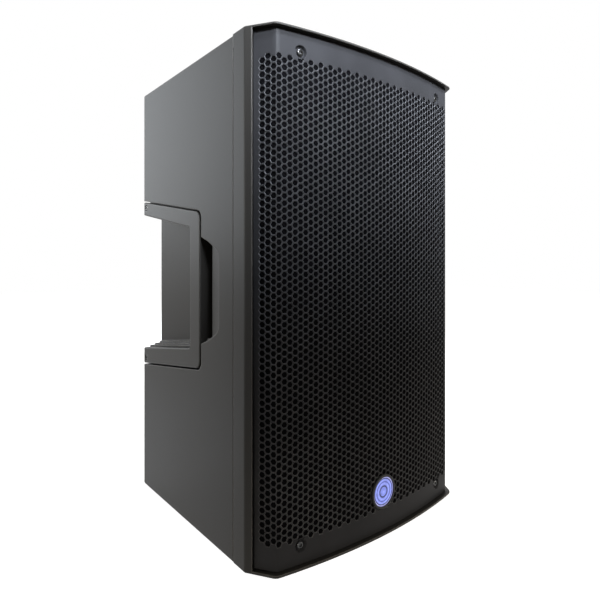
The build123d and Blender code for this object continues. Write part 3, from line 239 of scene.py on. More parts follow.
def coated(name, colour, roughness, peel=0.0011, metallic=0.0, specular=0.5, edge=0.0):
    """Powder coat on sheet steel: fine orange peel, a few dull patches, sharp edges painted lighter as
    a highlight.
    """
    look = Look(name, metallic=metallic, specular=specular)
    patches = look.noise(14.0, 4.0, 0.6)
    speck = look.cells(2.4 / peel)
    base = look.mix(look.fit(patches, 0.35, 0.65, 0.0, 1.0), tint(colour, 0.88), tint(colour, 1.12))
    base = look.mix(look.fit(speck, 0.0, 0.25, 0.35, 0.0), base, tint(colour, 1.7))
    normal = None
    if edge:
        normal, rim = look.rounding(edge)
        # painted highlight: sharp edges made up to 2.2 times lighter
        base = look.mix(look.math("MULTIPLY", rim, 0.6), base, tint(colour, 2.2))
    look.set("Base Color", base)
    height = look.math("ADD", look.noise(1.0 / peel, 2.0, 0.5), look.math("MULTIPLY", speck, 0.25))
    look.set("Normal", look.bump(height, 0.3, 0.00006, normal))
    look.set("Roughness", look.fit(patches, 0.3, 0.7, roughness - 0.05, roughness + 0.06))
    return look.material


def open_foam(name, colour):
    """Reticulated foam: cell walls around dark open pores."""
    look = Look(name, roughness=1.0, specular=0.02)
    walls = look.cells(700.0, "DISTANCE_TO_EDGE")
    open_part = look.fit(walls, 0.03, 0.28, 0.0, 1.0)
    tone = look.noise(180.0, 3.0, 0.7)
    base = look.mix(open_part, tint(colour, 1.6), tint(colour, 0.25))
    look.set("Base Color", look.mix(look.fit(tone, 0.3, 0.7, 0.0, 0.5), base, tint(colour, 0.5)))
    look.set("Normal", look.bump(look.math("SUBTRACT", 1.0, open_part), 0.9, 0.0006))
    return look.material


def woven(name, colour, thread, coating=0.0):
    """Impregnated cloth: threads over and under each other, with resin between them."""
    look = Look(name, specular=0.3)
    warp = look.bands(2.0 * thread, "X")
    weft = look.bands(2.0 * thread, "Z")
    cross = look.math("MULTIPLY", warp, weft)
    slub = look.noise(0.3 / thread, 3.0, 0.7)
    base = look.mix(cross, tint(colour, 0.55), tint(colour, 1.25))
    look.set("Base Color", look.mix(look.fit(slub, 0.3, 0.7, 0.0, 0.6), base, tint(colour, 0.8)))
    height = look.math("ADD", cross, look.math("MULTIPLY", slub, 0.4))
    look.set("Normal", look.bump(height, 0.6, thread * 0.4))
    look.set("Roughness", look.fit(slub, 0.3, 0.7, 0.77, 0.93))
    look.set("Coat Weight", coating)
    look.set("Sheen Weight", 0.2)
    return look.material


def fibrous(name, colour):
    """Pulp: short fibres pressed in all directions."""
    look = Look(name, specular=0.25)
    along = look.noise(1.0, 5.0, 0.7, look.stretched(1400.0, 160.0, 160.0))
    across = look.noise(1.0, 5.0, 0.7, look.stretched(160.0, 160.0, 1400.0))
    fibre = look.math("MAXIMUM", along, across)
    cloud = look.noise(25.0, 4.0)
    base = look.mix(look.fit(fibre, 0.45, 0.75, 0.0, 1.0), tint(colour, 0.7), tint(colour, 1.8))
    look.set("Base Color", look.mix(look.fit(cloud, 0.3, 0.7, 0.0, 0.5), base, tint(colour, 0.8)))
    look.set("Normal", look.bump(fibre, 0.5, 0.0003))
    look.set("Roughness", look.fit(fibre, 0.3, 0.8, 0.95, 0.78))
    return look.material


def cast(name, colour):
    """Painted die-casting: pebbled skin with soft flow marks."""
    look = Look(name, specular=0.5)
    pebble = look.cells(520.0, "SMOOTH_F1")
    flow = look.noise(9.0, 5.0, 0.65)
    tone = look.fit(flow, 0.3, 0.7, 0.0, 1.0)
    look.set("Base Color", look.mix(tone, tint(colour, 0.8), tint(colour, 1.25)))
    look.set("Normal", look.bump(look.math("ADD", pebble, flow), 0.5, 0.00025))
    look.set("Roughness", look.fit(flow, 0.3, 0.7, 0.42, 0.6))
    return look.material


def bare_metal(name, colour, roughness, across=1600.0, along=12.0, axis=1, wear=0.35):
    """Turned, drawn or plated metal: fine tool lines and slow tarnish."""
    look = Look(name, metallic=1.0)
    scale = [across] * 3
    scale[axis] = along
    lines = look.noise(1.0, 3.0, 0.6, look.stretched(*scale))
    tarnish = look.noise(30.0, 5.0, 0.65)
    base = look.mix(look.fit(lines, 0.3, 0.7, 0.0, 1.0), tint(colour, 0.82), tint(colour, 1.12))
    look.set("Base Color", look.mix(look.fit(tarnish, 0.45, 0.8, 0.0, wear), base, tint(colour, 0.45)))
    look.set("Normal", look.bump(lines, 0.12, 0.00004))
    look.set("Roughness", look.fit(tarnish, 0.3, 0.7, roughness - 0.06, roughness + 0.12))
    return look.material


def galvanised(name, colour):
    """Zinc-coated sheet: large crystal spangle in close greys."""
    look = Look(name, metallic=1.0)
    flake = look.node("TexVoronoi", {"Vector": look.place, "Scale": 90.0}).outputs["Color"]
    level = look.node("SeparateColor", {"Color": flake}).outputs[0]
    look.set("Base Color", look.mix(level, tint(colour, 0.72), tint(colour, 1.15)))
    look.set("Roughness", look.fit(level, 0.0, 1.0, 0.3, 0.55))
    look.set("Normal", look.bump(look.noise(400.0, 3.0), 0.1, 0.0001))
    return look.material


def board(name):
    """Circuit board: solder mask over a net of tracks, with bright pads."""
    look = Look(name, roughness=0.35)
    tracks = look.node("TexVoronoi", {"Vector": look.place, "Scale": 150.0}, feature="F1",
                       distance="CHEBYCHEV").outputs["Distance"]
    pads = look.cells(210.0)
    mask = look.ramp(tracks, [(0.0, (0.006, 0.05, 0.02, 1)), (0.42, (0.006, 0.05, 0.02, 1)),
                              (0.47, (0.012, 0.1, 0.04, 1)), (1.0, (0.012, 0.1, 0.04, 1))])
    look.set("Base Color", look.mix(look.fit(pads, 0.08, 0.1, 1.0, 0.0), mask, (0.45, 0.42, 0.36, 1)))
    look.set("Normal", look.bump(tracks, 0.3, 0.0001))
    look.set("Coat Weight", 0.3)
    return look.material


def rubber(name, colour):
    """Vulcanised rubber: fine pits and a dusty bloom."""
    look = Look(name, specular=0.25)
    bloom = look.noise(60.0, 4.0, 0.7)
    look.set("Base Color", look.mix(look.fit(bloom, 0.45, 0.8, 0.0, 0.6), colour, tint(colour, 2.2)))
    look.set("Normal", look.bump(look.noise(2200.0, 2.0), 0.3, 0.00008))
    look.set("Roughness", look.fit(bloom, 0.3, 0.7, 0.72, 0.9))
    return look.material


def ferrite(name):
    """Sintered magnet: charcoal ceramic with ground faces and small chips."""
    look = Look(name, roughness=0.45, specular=0.4)
    chips = look.cells(260.0)
    ground = look.noise(1.0, 3.0, 0.6, look.stretched(900.0, 60.0, 900.0))
    base = look.mix(look.fit(ground, 0.3, 0.7, 0.0, 1.0), grey(0.022), grey(0.038))
    look.set("Base Color", look.mix(look.fit(chips, 0.05, 0.12, 0.7, 0.0), base, grey(0.075)))
    look.set("Normal", look.bump(look.math("ADD", ground, chips), 0.3, 0.00015))
    return look.material


def wound_coil(name):
    """Copper wire wound on a brown film former."""
    look = Look(name, roughness=0.3, metallic=0.85)
    turns = look.bands(0.00042, "Y")
    base = look.mix(look.fit(turns, 0.1, 0.6, 0.0, 1.0), (0.09, 0.03, 0.012, 1), (0.72, 0.3, 0.13, 1))
    look.set("Base Color", base)
    look.set("Normal", look.bump(turns, 0.8, 0.0002))
    look.set("Coat Weight", 0.4)
    return look.material


def batting(name):
    """Polyester batting: pale tangled fibres with thin and thick patches."""
    look = Look(name, roughness=1.0, specular=0.1)
    fibre = look.noise(1.0, 6.0, 0.75, look.stretched(700.0, 120.0, 300.0))
    cloud = look.noise(28.0, 5.0, 0.7)
    base = look.mix(look.fit(fibre, 0.35, 0.7, 0.0, 1.0), grey(0.36), grey(0.62))
    look.set("Base Color", look.mix(look.fit(cloud, 0.35, 0.65, 0.0, 0.5), base, grey(0.3)))
    look.set("Normal", look.bump(look.math("ADD", fibre, cloud), 0.8, 0.002))
    look.set("Sheen Weight", 0.3)
    return look.material


def gloss_black(name, colour):
    """Polished black plastic with hairline swirls in its lacquer."""
    look = Look(name, specular=0.5)
    swirl = look.noise(350.0, 4.0, 0.7)
    look.set("Base Color", look.mix(look.fit(swirl, 0.55, 0.8, 0.0, 1.0), colour, tint(colour, 1.8)))
    look.set("Roughness", look.fit(swirl, 0.3, 0.75, 0.12, 0.24))
    look.set("Normal", look.bump(swirl, 0.05, 0.00003))
    look.set("Coat Weight", 0.5)
    return look.material


def from_middle(look, start, end):
    """Place on a surface, counted from the middle of a box."""
    middle = (start + end) / 2
    return look.node("VectorMath", {0: look.place, 1: (middle.x, middle.y, middle.z)},
                     operation="SUBTRACT").outputs["Vector"]


def ring_light(name, node):
    """Lit lens: plain concentric rings of blue light, softly uneven, under a clear skin."""
    start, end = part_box(node)
    radius = (end.x - start.x) / 2
    look = Look(name, roughness=0.2)
    flat = look.node("VectorMath", {0: from_middle(look, start, end), 1: (1.0, 0.0, 1.0)},
                     operation="MULTIPLY").outputs["Vector"]
    reach = look.node("VectorMath", {0: flat}, operation="LENGTH").outputs["Value"]
    share = look.math("DIVIDE", reach, radius)
    bright = (0.30, 0.36, 0.92, 1)
    plain = (0.17, 0.22, 0.72, 1)
    dim = (0.035, 0.045, 0.22, 1)
    dark = (0.004, 0.005, 0.02, 1)
    rim = (0.42, 0.42, 0.78, 1)
    rings = [(0.0, bright), (0.24, plain), (0.30, plain), (0.335, dark), (0.40, dark), (0.435, plain),
             (0.53, bright), (0.62, plain), (0.66, dim), (0.70, plain), (0.78, bright), (0.845, plain),
             (0.87, dark), (0.915, dark), (0.935, rim), (0.975, rim), (1.0, dim)]
    light = look.ramp(share, rings)
    cloud = look.noise(260.0, 3.0)
    light = look.mix(look.fit(cloud, 0.35, 0.75, 0.0, 0.45), light, dim)
    look.set("Base Color", (0.01, 0.012, 0.05, 1))
    look.set("Emission Color", light)
    look.set("Emission Strength", 1.15)
    look.set("Normal", look.bump(look.noise(500.0, 2.0), 0.05, 0.00003))
    return look.material


def display(name, node):
    """Display window: smoked glass with a printed black border round the unlit field."""
    start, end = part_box(node)
    look = Look(name, roughness=0.08)
    parts = look.node("SeparateXYZ", {"Vector": from_middle(look, start, end)})
    across = look.math("DIVIDE", look.math("ABSOLUTE", parts.outputs[0]), (end.x - start.x) / 2)
    up = look.math("DIVIDE", look.math("ABSOLUTE", parts.outputs[2]), (end.z - start.z) / 2)
    border = look.fit(look.math("MAXIMUM", across, up), 0.80, 0.83, 0.0, 1.0)
    dots = look.math("MULTIPLY", look.bands(0.0007, "X"), look.bands(0.0007, "Z"))
    field = look.mix(look.fit(dots, 0.2, 0.8, 0.0, 1.0), (0.006, 0.009, 0.014, 1),
                     (0.012, 0.018, 0.026, 1))
    look.set("Base Color", look.mix(border, field, grey(0.003)))
    look.set("Roughness", look.fit(look.noise(90.0, 4.0), 0.3, 0.7, 0.05, 0.14))
    look.set("Coat Weight", 0.6)
    return look.material


def printed(name, colour):
    """Screen-printed ink: nearly solid, with the coat's grain showing through."""
    look = Look(name, specular=0.3)
    grain = look.noise(2400.0, 3.0, 0.7)
    look.set("Base Color", look.mix(look.fit(grain, 0.5, 0.75, 0.0, 0.5), colour, tint(colour, 0.6)))
    look.set("Roughness", look.fit(grain, 0.3, 0.7, 0.5, 0.65))
    return look.material


SHELL = (0.0172, 0.0163, 0.0150, 1.0)
finishes = {
    # shell and handle: sharp edges painted six times lighter as a highlight, grooves and seams painted
    # darker as shade
    "shell_plastic": moulded("shell_plastic", SHELL, 0.42, specular=0.11, edge=0.0018, wear=6.0,
                             painted_shade_reach=0.006),
    "handle_plastic": moulded("handle_plastic", tint(SHELL, 1.1), 0.42, specular=0.12, edge=0.0018,
                              wear=6.0, painted_shade_reach=0.006),
    "grille_steel": coated("grille_steel", grey(0.020, 1.08), 0.45, specular=0.05),
    # punched_edge: the holes' chamfers in a lighter grey than the sheet, a painted highlight on the
    # webs
    "punched_edge": coated("punched_edge", grey(0.055, 1.06), 0.4, specular=0.06),
    "foam": open_foam("foam", grey(0.003, 1.2)),
    "screw_steel": bare_metal("screw_steel", grey(0.055), 0.24, across=1200.0, along=1200.0,
                              wear=0.5),
    # badge housing: sharp edges painted nine times lighter as a highlight
    "badge_plastic": moulded("badge_plastic", grey(0.006), 0.34, grain=0.0002, depth=0.00002,
                             edge=0.0005, wear=9.0, specular=0.2),
    "badge_light": ring_light("badge_light", "badge_lens"),
    "circuit_board": board("circuit_board"),
    "cast_frame": cast("cast_frame", grey(0.02)),
    "gasket": rubber("gasket", grey(0.018)),
    "surround_cloth": woven("surround_cloth", grey(0.016), 0.0005, coating=0.15),
    "spider_cloth": woven("spider_cloth", (0.30, 0.17, 0.06, 1), 0.0006),
    "cone_paper": fibrous("cone_paper", grey(0.02)),
    "coil_former": wound_coil("coil_former"),
    "ferrite": ferrite("ferrite"),
    "motor_steel": bare_metal("motor_steel", grey(0.42), 0.3),
    "horn_plastic": moulded("horn_plastic", grey(0.018), 0.5, edge=0.0),
    "port_plastic": moulded("port_plastic", grey(0.02), 0.55, edge=0.0),
    "panel_metal": coated("panel_metal", grey(0.022), 0.5, peel=0.0016, edge=0.0004),
    "heat_sink": bare_metal("heat_sink", grey(0.035), 0.42, axis=2, wear=0.2),
    "connector_plastic": moulded("connector_plastic", grey(0.014), 0.4, grain=0.0003, edge=0.0003),
    "knob_plastic": moulded("knob_plastic", grey(0.02), 0.6, grain=0.00025, edge=0.0003),
    "rocker_plastic": gloss_black("rocker_plastic", grey(0.01)),
    "display_glass": display("display_glass", "display_window"),
    "chassis_steel": galvanised("chassis_steel", grey(0.5)),
    "socket_metal": coated("socket_metal", grey(0.03), 0.35, metallic=0.6, edge=0.0005),
    "foot_rubber": rubber("foot_rubber", grey(0.015)),
    "wadding": batting("wadding"),
    "panel_ink": printed("panel_ink", grey(0.5)),
    "latch_plastic": moulded("latch_plastic", grey(0.25), 0.45, grain=0.0003, edge=0.0003, wear=1.3),
}

for part in frame["record"]["subparts"]:
    mesh = frame["nodes"][part["node"]].data
    mesh.materials.clear()
    mesh.materials.append(finishes[part["material_slot"]])


SAME_PLACE = 1e-6


def piece(name, points, faces, finish, body="cabinet", sharp=25.0, second=None, marks=None):
    """A new mesh piece that rides on a body; marks is 1 for each face in the second finish."""
    mesh = bpy.data.meshes.new(name)
    mesh.from_pydata([tuple(p) for p in points], [], faces)
    if marks is not None:
        mesh.polygons.foreach_set("material_index", marks)
    grid = bmesh.new()
    grid.from_mesh(mesh)
    bmesh.ops.remove_doubles(grid, verts=grid.verts, dist=SAME_PLACE)
    bmesh.ops.dissolve_degenerate(grid, edges=grid.edges, dist=SAME_PLACE)
    bmesh.ops.recalc_face_normals(grid, faces=grid.faces)
    grid.to_mesh(mesh)
    grid.free()
    mesh.shade_smooth()
    mesh.set_sharp_from_angle(angle=math.radians(sharp))
    mesh.materials.append(finishes[finish])
    if second:
        mesh.materials.append(finishes[second])
    made = bpy.data.objects.new(name, mesh)
    bpy.context.scene.collection.objects.link(made)
    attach(made, body)
    return made


# ---------------------------------------------------------------- screws
FLAT_WITHIN = 0.0002
FACES_BACK = -0.99
SCREW_SIDES = 36
LOBE_COUNT = 6
SHANK_SHARE = 0.47
TIP_LENGTH = 0.0012
THREAD_PITCH = 0.001


def wrap(outer, inner):
    """Quads between two closed rows of as many points, one quad for each side."""
    return list(zip(outer, outer[1:] + outer[:1], inner[1:] + inner[:1], inner))


def islands(node):
    """The separate solids of a node, each as a list of (normal, area, centre) of its faces."""
    grid = bmesh.new()
    grid.from_mesh(frame["nodes"][node].data)
    bmesh.ops.remove_doubles(grid, verts=grid.verts, dist=SAME_PLACE)
    seen = set()
    for first in grid.faces:
        if first in seen:
            continue
        group = []
        queue = [first]
        seen.add(first)
        while queue:
            face = queue.pop()
            group.append((face.normal.copy(), face.calc_area(), face.calc_center_median()))
            for edge in face.edges:
                for other in edge.link_faces:
                    if other not in seen:
                        seen.add(other)
                        queue.append(other)
        yield group
    grid.free()


def head_top(faces):
    """Normal, centre and area of a screw's head: its largest flat end that lies in one plane."""
    ends = {}
    for normal, area, centre in faces:
        direction = tuple(round(part, 2) + 0.0 for part in normal)  # + 0.0 turns -0.0 into 0.0
        ends.setdefault(direction, []).append((normal, area, centre))
    best = None
    for group in ends.values():
        normal = group[0][0]
        levels = [centre.dot(normal) for _, _, centre in group]
        total = sum(area for _, area, _ in group)
        if max(levels) - min(levels) < FLAT_WITHIN and (best is None or total > best[2]):
            middle = sum((centre * area for _, area, centre in group), Vector()) / total
            best = (normal, middle, total)
    return best


def screw_solids(node):
    """(top of head, outward axis, head height, head radius, whole length) of each screw."""
    for faces in islands(node):
        axis, top, area = head_top(faces)
        under = [entry for entry in faces if entry[0].dot(axis) < FACES_BACK]
        shoulder = max(under, key=lambda entry: (entry[2] - top).dot(axis))
        tip = min(under, key=lambda entry: (entry[2] - top).dot(axis))
        yield (top, axis, -(shoulder[2] - top).dot(axis), math.sqrt(area / math.pi),
               -(tip[2] - top).dot(axis))


def screw_mesh(top, axis, head, radius, length):
    """Pan-head screw with a six-lobed recess and a grooved shank."""
    shank = radius * SHANK_SHARE
    # rings from the tip up to the bottom of the recess: (radius, height, share that the lobes take)
    rings = [(0.35 * shank, -length, 0.0), (0.8 * shank, -length + 2 * TIP_LENGTH / 3, 0.0)]
    level = -length + TIP_LENGTH
    while level < -head - TIP_LENGTH:
        rings += [(shank, level, 0.0), (0.78 * shank, level + THREAD_PITCH / 2, 0.0)]
        level += THREAD_PITCH
    rings += [(shank, -head, 0.0), (0.95 * radius, -head, 0.0), (radius, -0.9 * head, 0.0),
              (radius, -0.5 * head, 0.0), (0.96 * radius, -0.3 * head, 0.0),
              (0.84 * radius, -0.11 * head, 0.0), (0.66 * radius, -0.02 * head, 0.0),
              (0.47 * radius, 0.0, 0.15), (0.44 * radius, -0.06 * head, 0.17),
              (0.42 * radius, -0.62 * head, 0.17), (0.08 * radius, -0.72 * head, 0.0)]
    turn = axis.to_track_quat("Z", "Y").to_matrix()
    points = []
    for ring, height, lobe in rings:
        for side in range(SCREW_SIDES):
            angle = 2 * math.pi * side / SCREW_SIDES
            reach = ring * (1 + lobe * math.cos(LOBE_COUNT * angle))
            around = Vector((reach * math.cos(angle), reach * math.sin(angle), height))
            points.append(top + turn @ around)
    rows = [list(range(start, start + SCREW_SIDES)) for start in range(0, len(points), SCREW_SIDES)]
    faces = []
    for lower, upper in zip(rows, rows[1:]):
        faces += wrap(lower, upper)
    return points, faces + [tuple(reversed(rows[0])), tuple(rows[-1])]


def detail_screws(node):
    """Replace a node's plain screws by detailed ones in the same places."""
    points, faces = [], []
    for solid in screw_solids(node):
        more, around = screw_mesh(*solid)
        faces += [tuple(index + len(points) for index in face) for face in around]
        points += more
    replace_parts(piece(node + "_detailed", points, faces, "screw_steel", sharp=32.0), node)


grille_screw_solids = list(screw_solids("grille_screws"))
for part in frame["record"]["subparts"]:
    if part["node"].endswith("_screws"):
        detail_screws(part["node"])


# ---------------------------------------------------------------- perforated grille
COLUMNS_ON_BOW = 46
COLUMNS_ON_FACET = 3
HOLE_SHARE = 0.795
CHAMFER = 0.00055
FIRST_HOLE = 0.0383
LAST_HOLE = 0.5850
ROWS = 69
CUP_FLOOR = 0.0060
CUP_MOUTH = 0.0077
BEND_ROUNDING = 0.0014
RIM_LEVEL = 0.00001
THINNEST_SHEET = 0.0005
BADGE_CUT = 0.92
# the margins' quads are finer within so many cup mouths of a cup that lies near the same border
CUP_NEAR = 1.3
CUP_MARGIN = 0.05
FINE_STEP = 0.0007
FINE_ROWS, PLAIN_ROWS = 34, 4
EDGE_ROWS = 24


class Sheet:
    """The grille's curved sheet: places along its front face, by run from the middle and height."""

    def __init__(self):
        points = [v.co for v in frame["nodes"]["grille"].data.vertices]
        self.bottom = min(p.z for p in points)
        self.top = max(p.z for p in points)
        rim = [p for p in points if p.z > self.top - RIM_LEVEL and p.x > 0]
        nose = min(p.y for p in points)
        edge = max(rim, key=lambda p: p.x)
        bend = max(rim, key=lambda p: (edge.y - nose) * p.x - edge.x * (p.y - nose))
        behind = [(p - edge).length for p in rim if p.y > edge.y]
        self.thickness = min(gap for gap in behind if gap > THINNEST_SHEET)
        self.radius = (bend.x ** 2 + (bend.y - nose) ** 2) / (2 * (bend.y - nose))
        self.centre = nose + self.radius
        self.bend = np.array((bend.x, bend.y))
        self.bend_run = self.radius * math.asin(bend.x / self.radius)
        facet = np.array((edge.x - bend.x, edge.y - bend.y))
        self.facet_length = float(np.linalg.norm(facet))
        self.facet = facet / self.facet_length
        self.end = self.bend_run + self.facet_length
        self.cups = []

    def bow(self, run):
        """Places and outward directions on the round middle of the sheet."""
        angle = run / self.radius
        normal = np.stack((np.sin(angle), -np.cos(angle)), axis=1)
        return normal * self.radius + (0.0, self.centre), normal

    def straight(self, run):
        """Places and outward directions on the flat part at the right edge."""
        normal = np.array((self.facet[1], -self.facet[0]))
        place = self.bend + (run - self.bend_run)[:, None] * self.facet
        return place, np.repeat(normal[None], len(run), axis=0)

    def sunk(self, run, height):
        """How far the pressed cups take the sheet back at each point."""
        total = np.zeros(len(run))
        for cup_run, cup_height, depth in self.cups:
            reach = np.hypot(run - cup_run, height - cup_height)
            share = np.clip((CUP_MOUTH - reach) / (CUP_MOUTH - CUP_FLOOR), 0.0, 1.0)
            total += depth * share * share * (3 - 2 * share)
        return total

    def place(self, run, height, depth):
        """Points on the sheet, or at a depth behind its front face."""
        run = np.asarray(run, float)
        height = np.asarray(height, float)
        side = np.where(run < 0, -1.0, 1.0)
        away = np.abs(run)
        on_bow, bow_normal = self.bow(away)
        on_facet, facet_normal = self.straight(away)
        share = (away - self.bend_run + BEND_ROUNDING) / (2 * BEND_ROUNDING)
        share = np.clip(share, 0.0, 1.0)[:, None]
        start, _ = self.bow(np.array([self.bend_run - BEND_ROUNDING]))
        end, _ = self.straight(np.array([self.bend_run + BEND_ROUNDING]))
        rounded = (1 - share) ** 2 * start + 2 * share * (1 - share) * self.bend + share ** 2 * end
        flat = np.where(share <= 0, on_bow, np.where(share >= 1, on_facet, rounded))
        normal = (1 - share) * bow_normal + share * facet_normal
        normal /= np.linalg.norm(normal, axis=1)[:, None]
        flat = flat - normal * (np.asarray(depth) + self.sunk(run, height))[:, None]
        return np.stack((flat[:, 0] * side, flat[:, 1], height), axis=1)


sheet = Sheet()
for top, axis, head, radius, length in grille_screw_solids:
    under = top - axis * head
    away = math.hypot(under.x, under.y - sheet.centre)
    sheet.cups.append((math.copysign(sheet.radius * math.asin(abs(under.x) / away), under.x), under.z,
                       sheet.radius - away))

badge_low, badge_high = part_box("badge_housing")
badge_height = (badge_low.z + badge_high.z) / 2
badge_cut = BADGE_CUT * (badge_high.x - badge_low.x) / 2
pitch = 2 * sheet.bend_run / COLUMNS_ON_BOW
corner = 2 * pitch / 3
step = (LAST_HOLE - FIRST_HOLE) / (ROWS - 1)
column_count = COLUMNS_ON_BOW + 2 * COLUMNS_ON_FACET
column_runs = [(index - (column_count - 1) / 2) * pitch for index in range(column_count)]


def column_rows(index):
    """Heights of the hole centres in a column; every other column is half a step in."""
    if index % 2:
        return [FIRST_HOLE + step * row for row in range(ROWS)]
    return [FIRST_HOLE + step * (row + 0.5) for row in range(ROWS - 1)]


HEXAGON = [(1.0, 0.0), (0.5, 0.5), (-0.5, 0.5), (-1.0, 0.0), (-0.5, -0.5), (0.5, -0.5)]


class Surface:
    """Collects points as run, height and depth on the sheet, and the faces between them."""

    def __init__(self):
        self.runs, self.heights, self.depths, self.faces, self.marks = [], [], [], [], {}

    def ring(self, run, height, share, depth):
        """Six new points round a hole's centre; a share of 1 reaches the next holes' cells."""
        first = len(self.runs)
        for x, z in HEXAGON:
            self.runs.append(run + x * corner * share)
            self.heights.append(height + z * step * share)
            self.depths.append(depth)
        return list(range(first, first + len(HEXAGON)))

    def band(self, outer, inner, mark=0):
        """Faces between two rings; a mark of 1 gives them the second finish."""
        for face in wrap(outer, inner):
            self.marks[len(self.faces)] = mark
            self.faces.append(face)

    def edge(self, corners, thick):
        """One face through the sheet's thickness, between two (run, height) corners."""
        first = len(self.runs)
        (start, end) = corners
        for (run, height), depth in ((start, 0.0), (end, 0.0), (end, thick), (start, thick)):
            self.runs.append(run)
            self.heights.append(height)
            self.depths.append(depth)
        self.faces.append((first, first + 1, first + 2, first + 3))

    def patch(self, corners, across, up, depth):
        """A grid of quads between four (run, height) corners, in order round the patch."""
        first = len(self.runs)
        (a, b, c, d) = corners
        for row in range(up + 1):
            v = row / up
            for column in range(across + 1):
                u = column / across
                for store, axis in ((self.runs, 0), (self.heights, 1)):
                    store.append((1 - v) * ((1 - u) * a[axis] + u * b[axis])
                                 + v * ((1 - u) * d[axis] + u * c[axis]))
                self.depths.append(depth)
        for row in range(up):
            for column in range(across):
                at = first + row * (across + 1) + column
                self.faces.append((at, at + 1, at + across + 2, at + across + 1))


def cut_holes(surface, thick):
    """A cell with a chamfered hole at every place of the pattern that the badge doesn't cover."""
    for index, run in enumerate(column_runs):
        for height in column_rows(index):
            reach = [math.hypot(run + x * corner, height + z * step - badge_height) for x, z in HEXAGON]
            if max(reach) < badge_cut:
                continue
            front = surface.ring(run, height, 1.0, 0.0)
            lip = surface.ring(run, height, HOLE_SHARE + 2 * CHAMFER / step, 0.0)
            wall = surface.ring(run, height, HOLE_SHARE, CHAMFER)
            far = surface.ring(run, height, HOLE_SHARE, thick)
            back = surface.ring(run, height, 1.0, thick)
            # the chamfer ring (mark 1) takes punched_edge, whose lighter grey is a painted highlight
            for outer, inner, mark in ((front, lip, 0), (lip, wall, 1), (wall, far, 0), (far, back, 0)):
                surface.band(outer, inner, mark)


def add_end_margins(surface, thick):
    """Plain strips above and below the holes, finer where a cup is pressed into them."""
    for border, pick, way in ((sheet.top, -1, 1), (sheet.bottom, 0, -1)):
        line = [(-sheet.end, column_rows(0)[pick] + way * step / 2)]
        for index, run in enumerate(column_runs):
            height = column_rows(index)[pick] + way * step / 2
            line += [(run - corner / 2, height), (run + corner / 2, height)]
        line.append((sheet.end, line[-1][1]))
        cups = [run for run, height, _ in sheet.cups if (height - border) * way > -CUP_MARGIN]
        for (start, start_height), (end, end_height) in zip(line, line[1:]):
            near = any(start < run + CUP_NEAR * CUP_MOUTH and end > run - CUP_NEAR * CUP_MOUTH
                       for run in cups)
            across = max(1, round((end - start) / FINE_STEP)) if near else 1
            up = FINE_ROWS if near else PLAIN_ROWS
            for depth in (0.0, thick):
                surface.patch(((start, start_height), (end, end_height), (end, border),
                               (start, border)), across, up, depth)
            surface.edge(((start, border), (end, border)), thick)


def add_side_margins(surface, thick):
    """Plain strips beside the outer columns, and the sheet's two upright edges."""
    for index, way in ((0, -1), (column_count - 1, 1)):
        run = column_runs[index]
        rows = column_rows(index)
        line = [(run + way * corner / 2, rows[0] - step / 2)]
        for height in rows:
            line += [(run + way * corner, height), (run + way * corner / 2, height + step / 2)]
        for (first_run, first), (second_run, second) in zip(line, line[1:]):
            for depth in (0.0, thick):
                surface.patch(((way * sheet.end, first), (first_run, first), (second_run, second),
                               (way * sheet.end, second)), 1, 1, depth)
    tall = sheet.top - sheet.bottom
    levels = [sheet.bottom + tall * row / EDGE_ROWS for row in range(EDGE_ROWS + 1)]
    for way in (-1, 1):
        for lower, upper in zip(levels, levels[1:]):
            surface.edge(((way * sheet.end, lower), (way * sheet.end, upper)), thick)


def build_grille():
    """The whole sheet: holed cells, plain margins with pressed cups, and the badge's round cut."""
    surface = Surface()
    for add in (cut_holes, add_end_margins, add_side_margins):
        add(surface, sheet.thickness)
    runs = np.array(surface.runs)
    heights = np.array(surface.heights)
    reach = np.hypot(runs, heights - badge_height)
    inside = reach < badge_cut
    grow = badge_cut / np.maximum(reach[inside], SAME_PLACE)
    heights[inside] = badge_height + (heights[inside] - badge_height) * grow
    runs[inside] = runs[inside] * grow
    points = sheet.place(runs, heights, np.array(surface.depths))
    marks = [surface.marks.get(index, 0) for index in range(len(surface.faces))]
    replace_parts(piece("grille_sheet", points, surface.faces, "grille_steel", second="punched_edge",
                      marks=marks), "grille")


build_grille()


# ---------------------------------------------------------------- marks on the rear panel
# height and width of the printed lines
INK = 0.00006
TICK = 0.0005
# scales, counted from a knob's rim; they reach TURN either way from straight up
TURN = math.radians(150)
TICK_COUNT = 11
TICK_START, TICK_END, LONG_TICK = 0.0021, 0.0038, 0.0007
ARC_GAP, ARC_RUNS = 0.0024, 40
# the I and O above and below the switch, counted from its frame, and the rule under the heat sink
LETTER_START, LETTER_END = 0.0025, 0.0060
LETTER_DROP, LETTER_RADIUS, LETTER_RUNS = 0.0043, 0.0013, 20
RULE_DROP = 0.008
# width and depth of a knob's inlaid pointer, and its ends as shares of the knob's radius
INLAY, INLAY_DEPTH = 0.0015, 0.00065
POINTER_START, POINTER_END = 0.03, 0.86
KNOB_SKIN = 0.0001


def bar(x, z, angle, start, end, width=TICK):
    """Outline of a straight mark between two distances from (x, z), at an angle from straight up."""
    along = (math.sin(angle), math.cos(angle))
    across = (along[1] * width / 2, -along[0] * width / 2)
    return [(x + along[0] * reach + across[0] * side, z + along[1] * reach + across[1] * side)
            for reach, side in ((start, -1), (end, -1), (end, 1), (start, 1))]


def arc(x, z, start, end, radius, pieces):
    """Outlines of the short runs of a round line."""
    step_angle = (end - start) / pieces
    runs = []
    for index in range(pieces):
        first, second = start + index * step_angle, start + (index + 1) * step_angle
        runs.append([(x + math.sin(angle) * reach, z + math.cos(angle) * reach)
                     for angle, reach in ((first, radius), (second, radius), (second, radius + TICK),
                                          (first, radius + TICK))])
    return runs


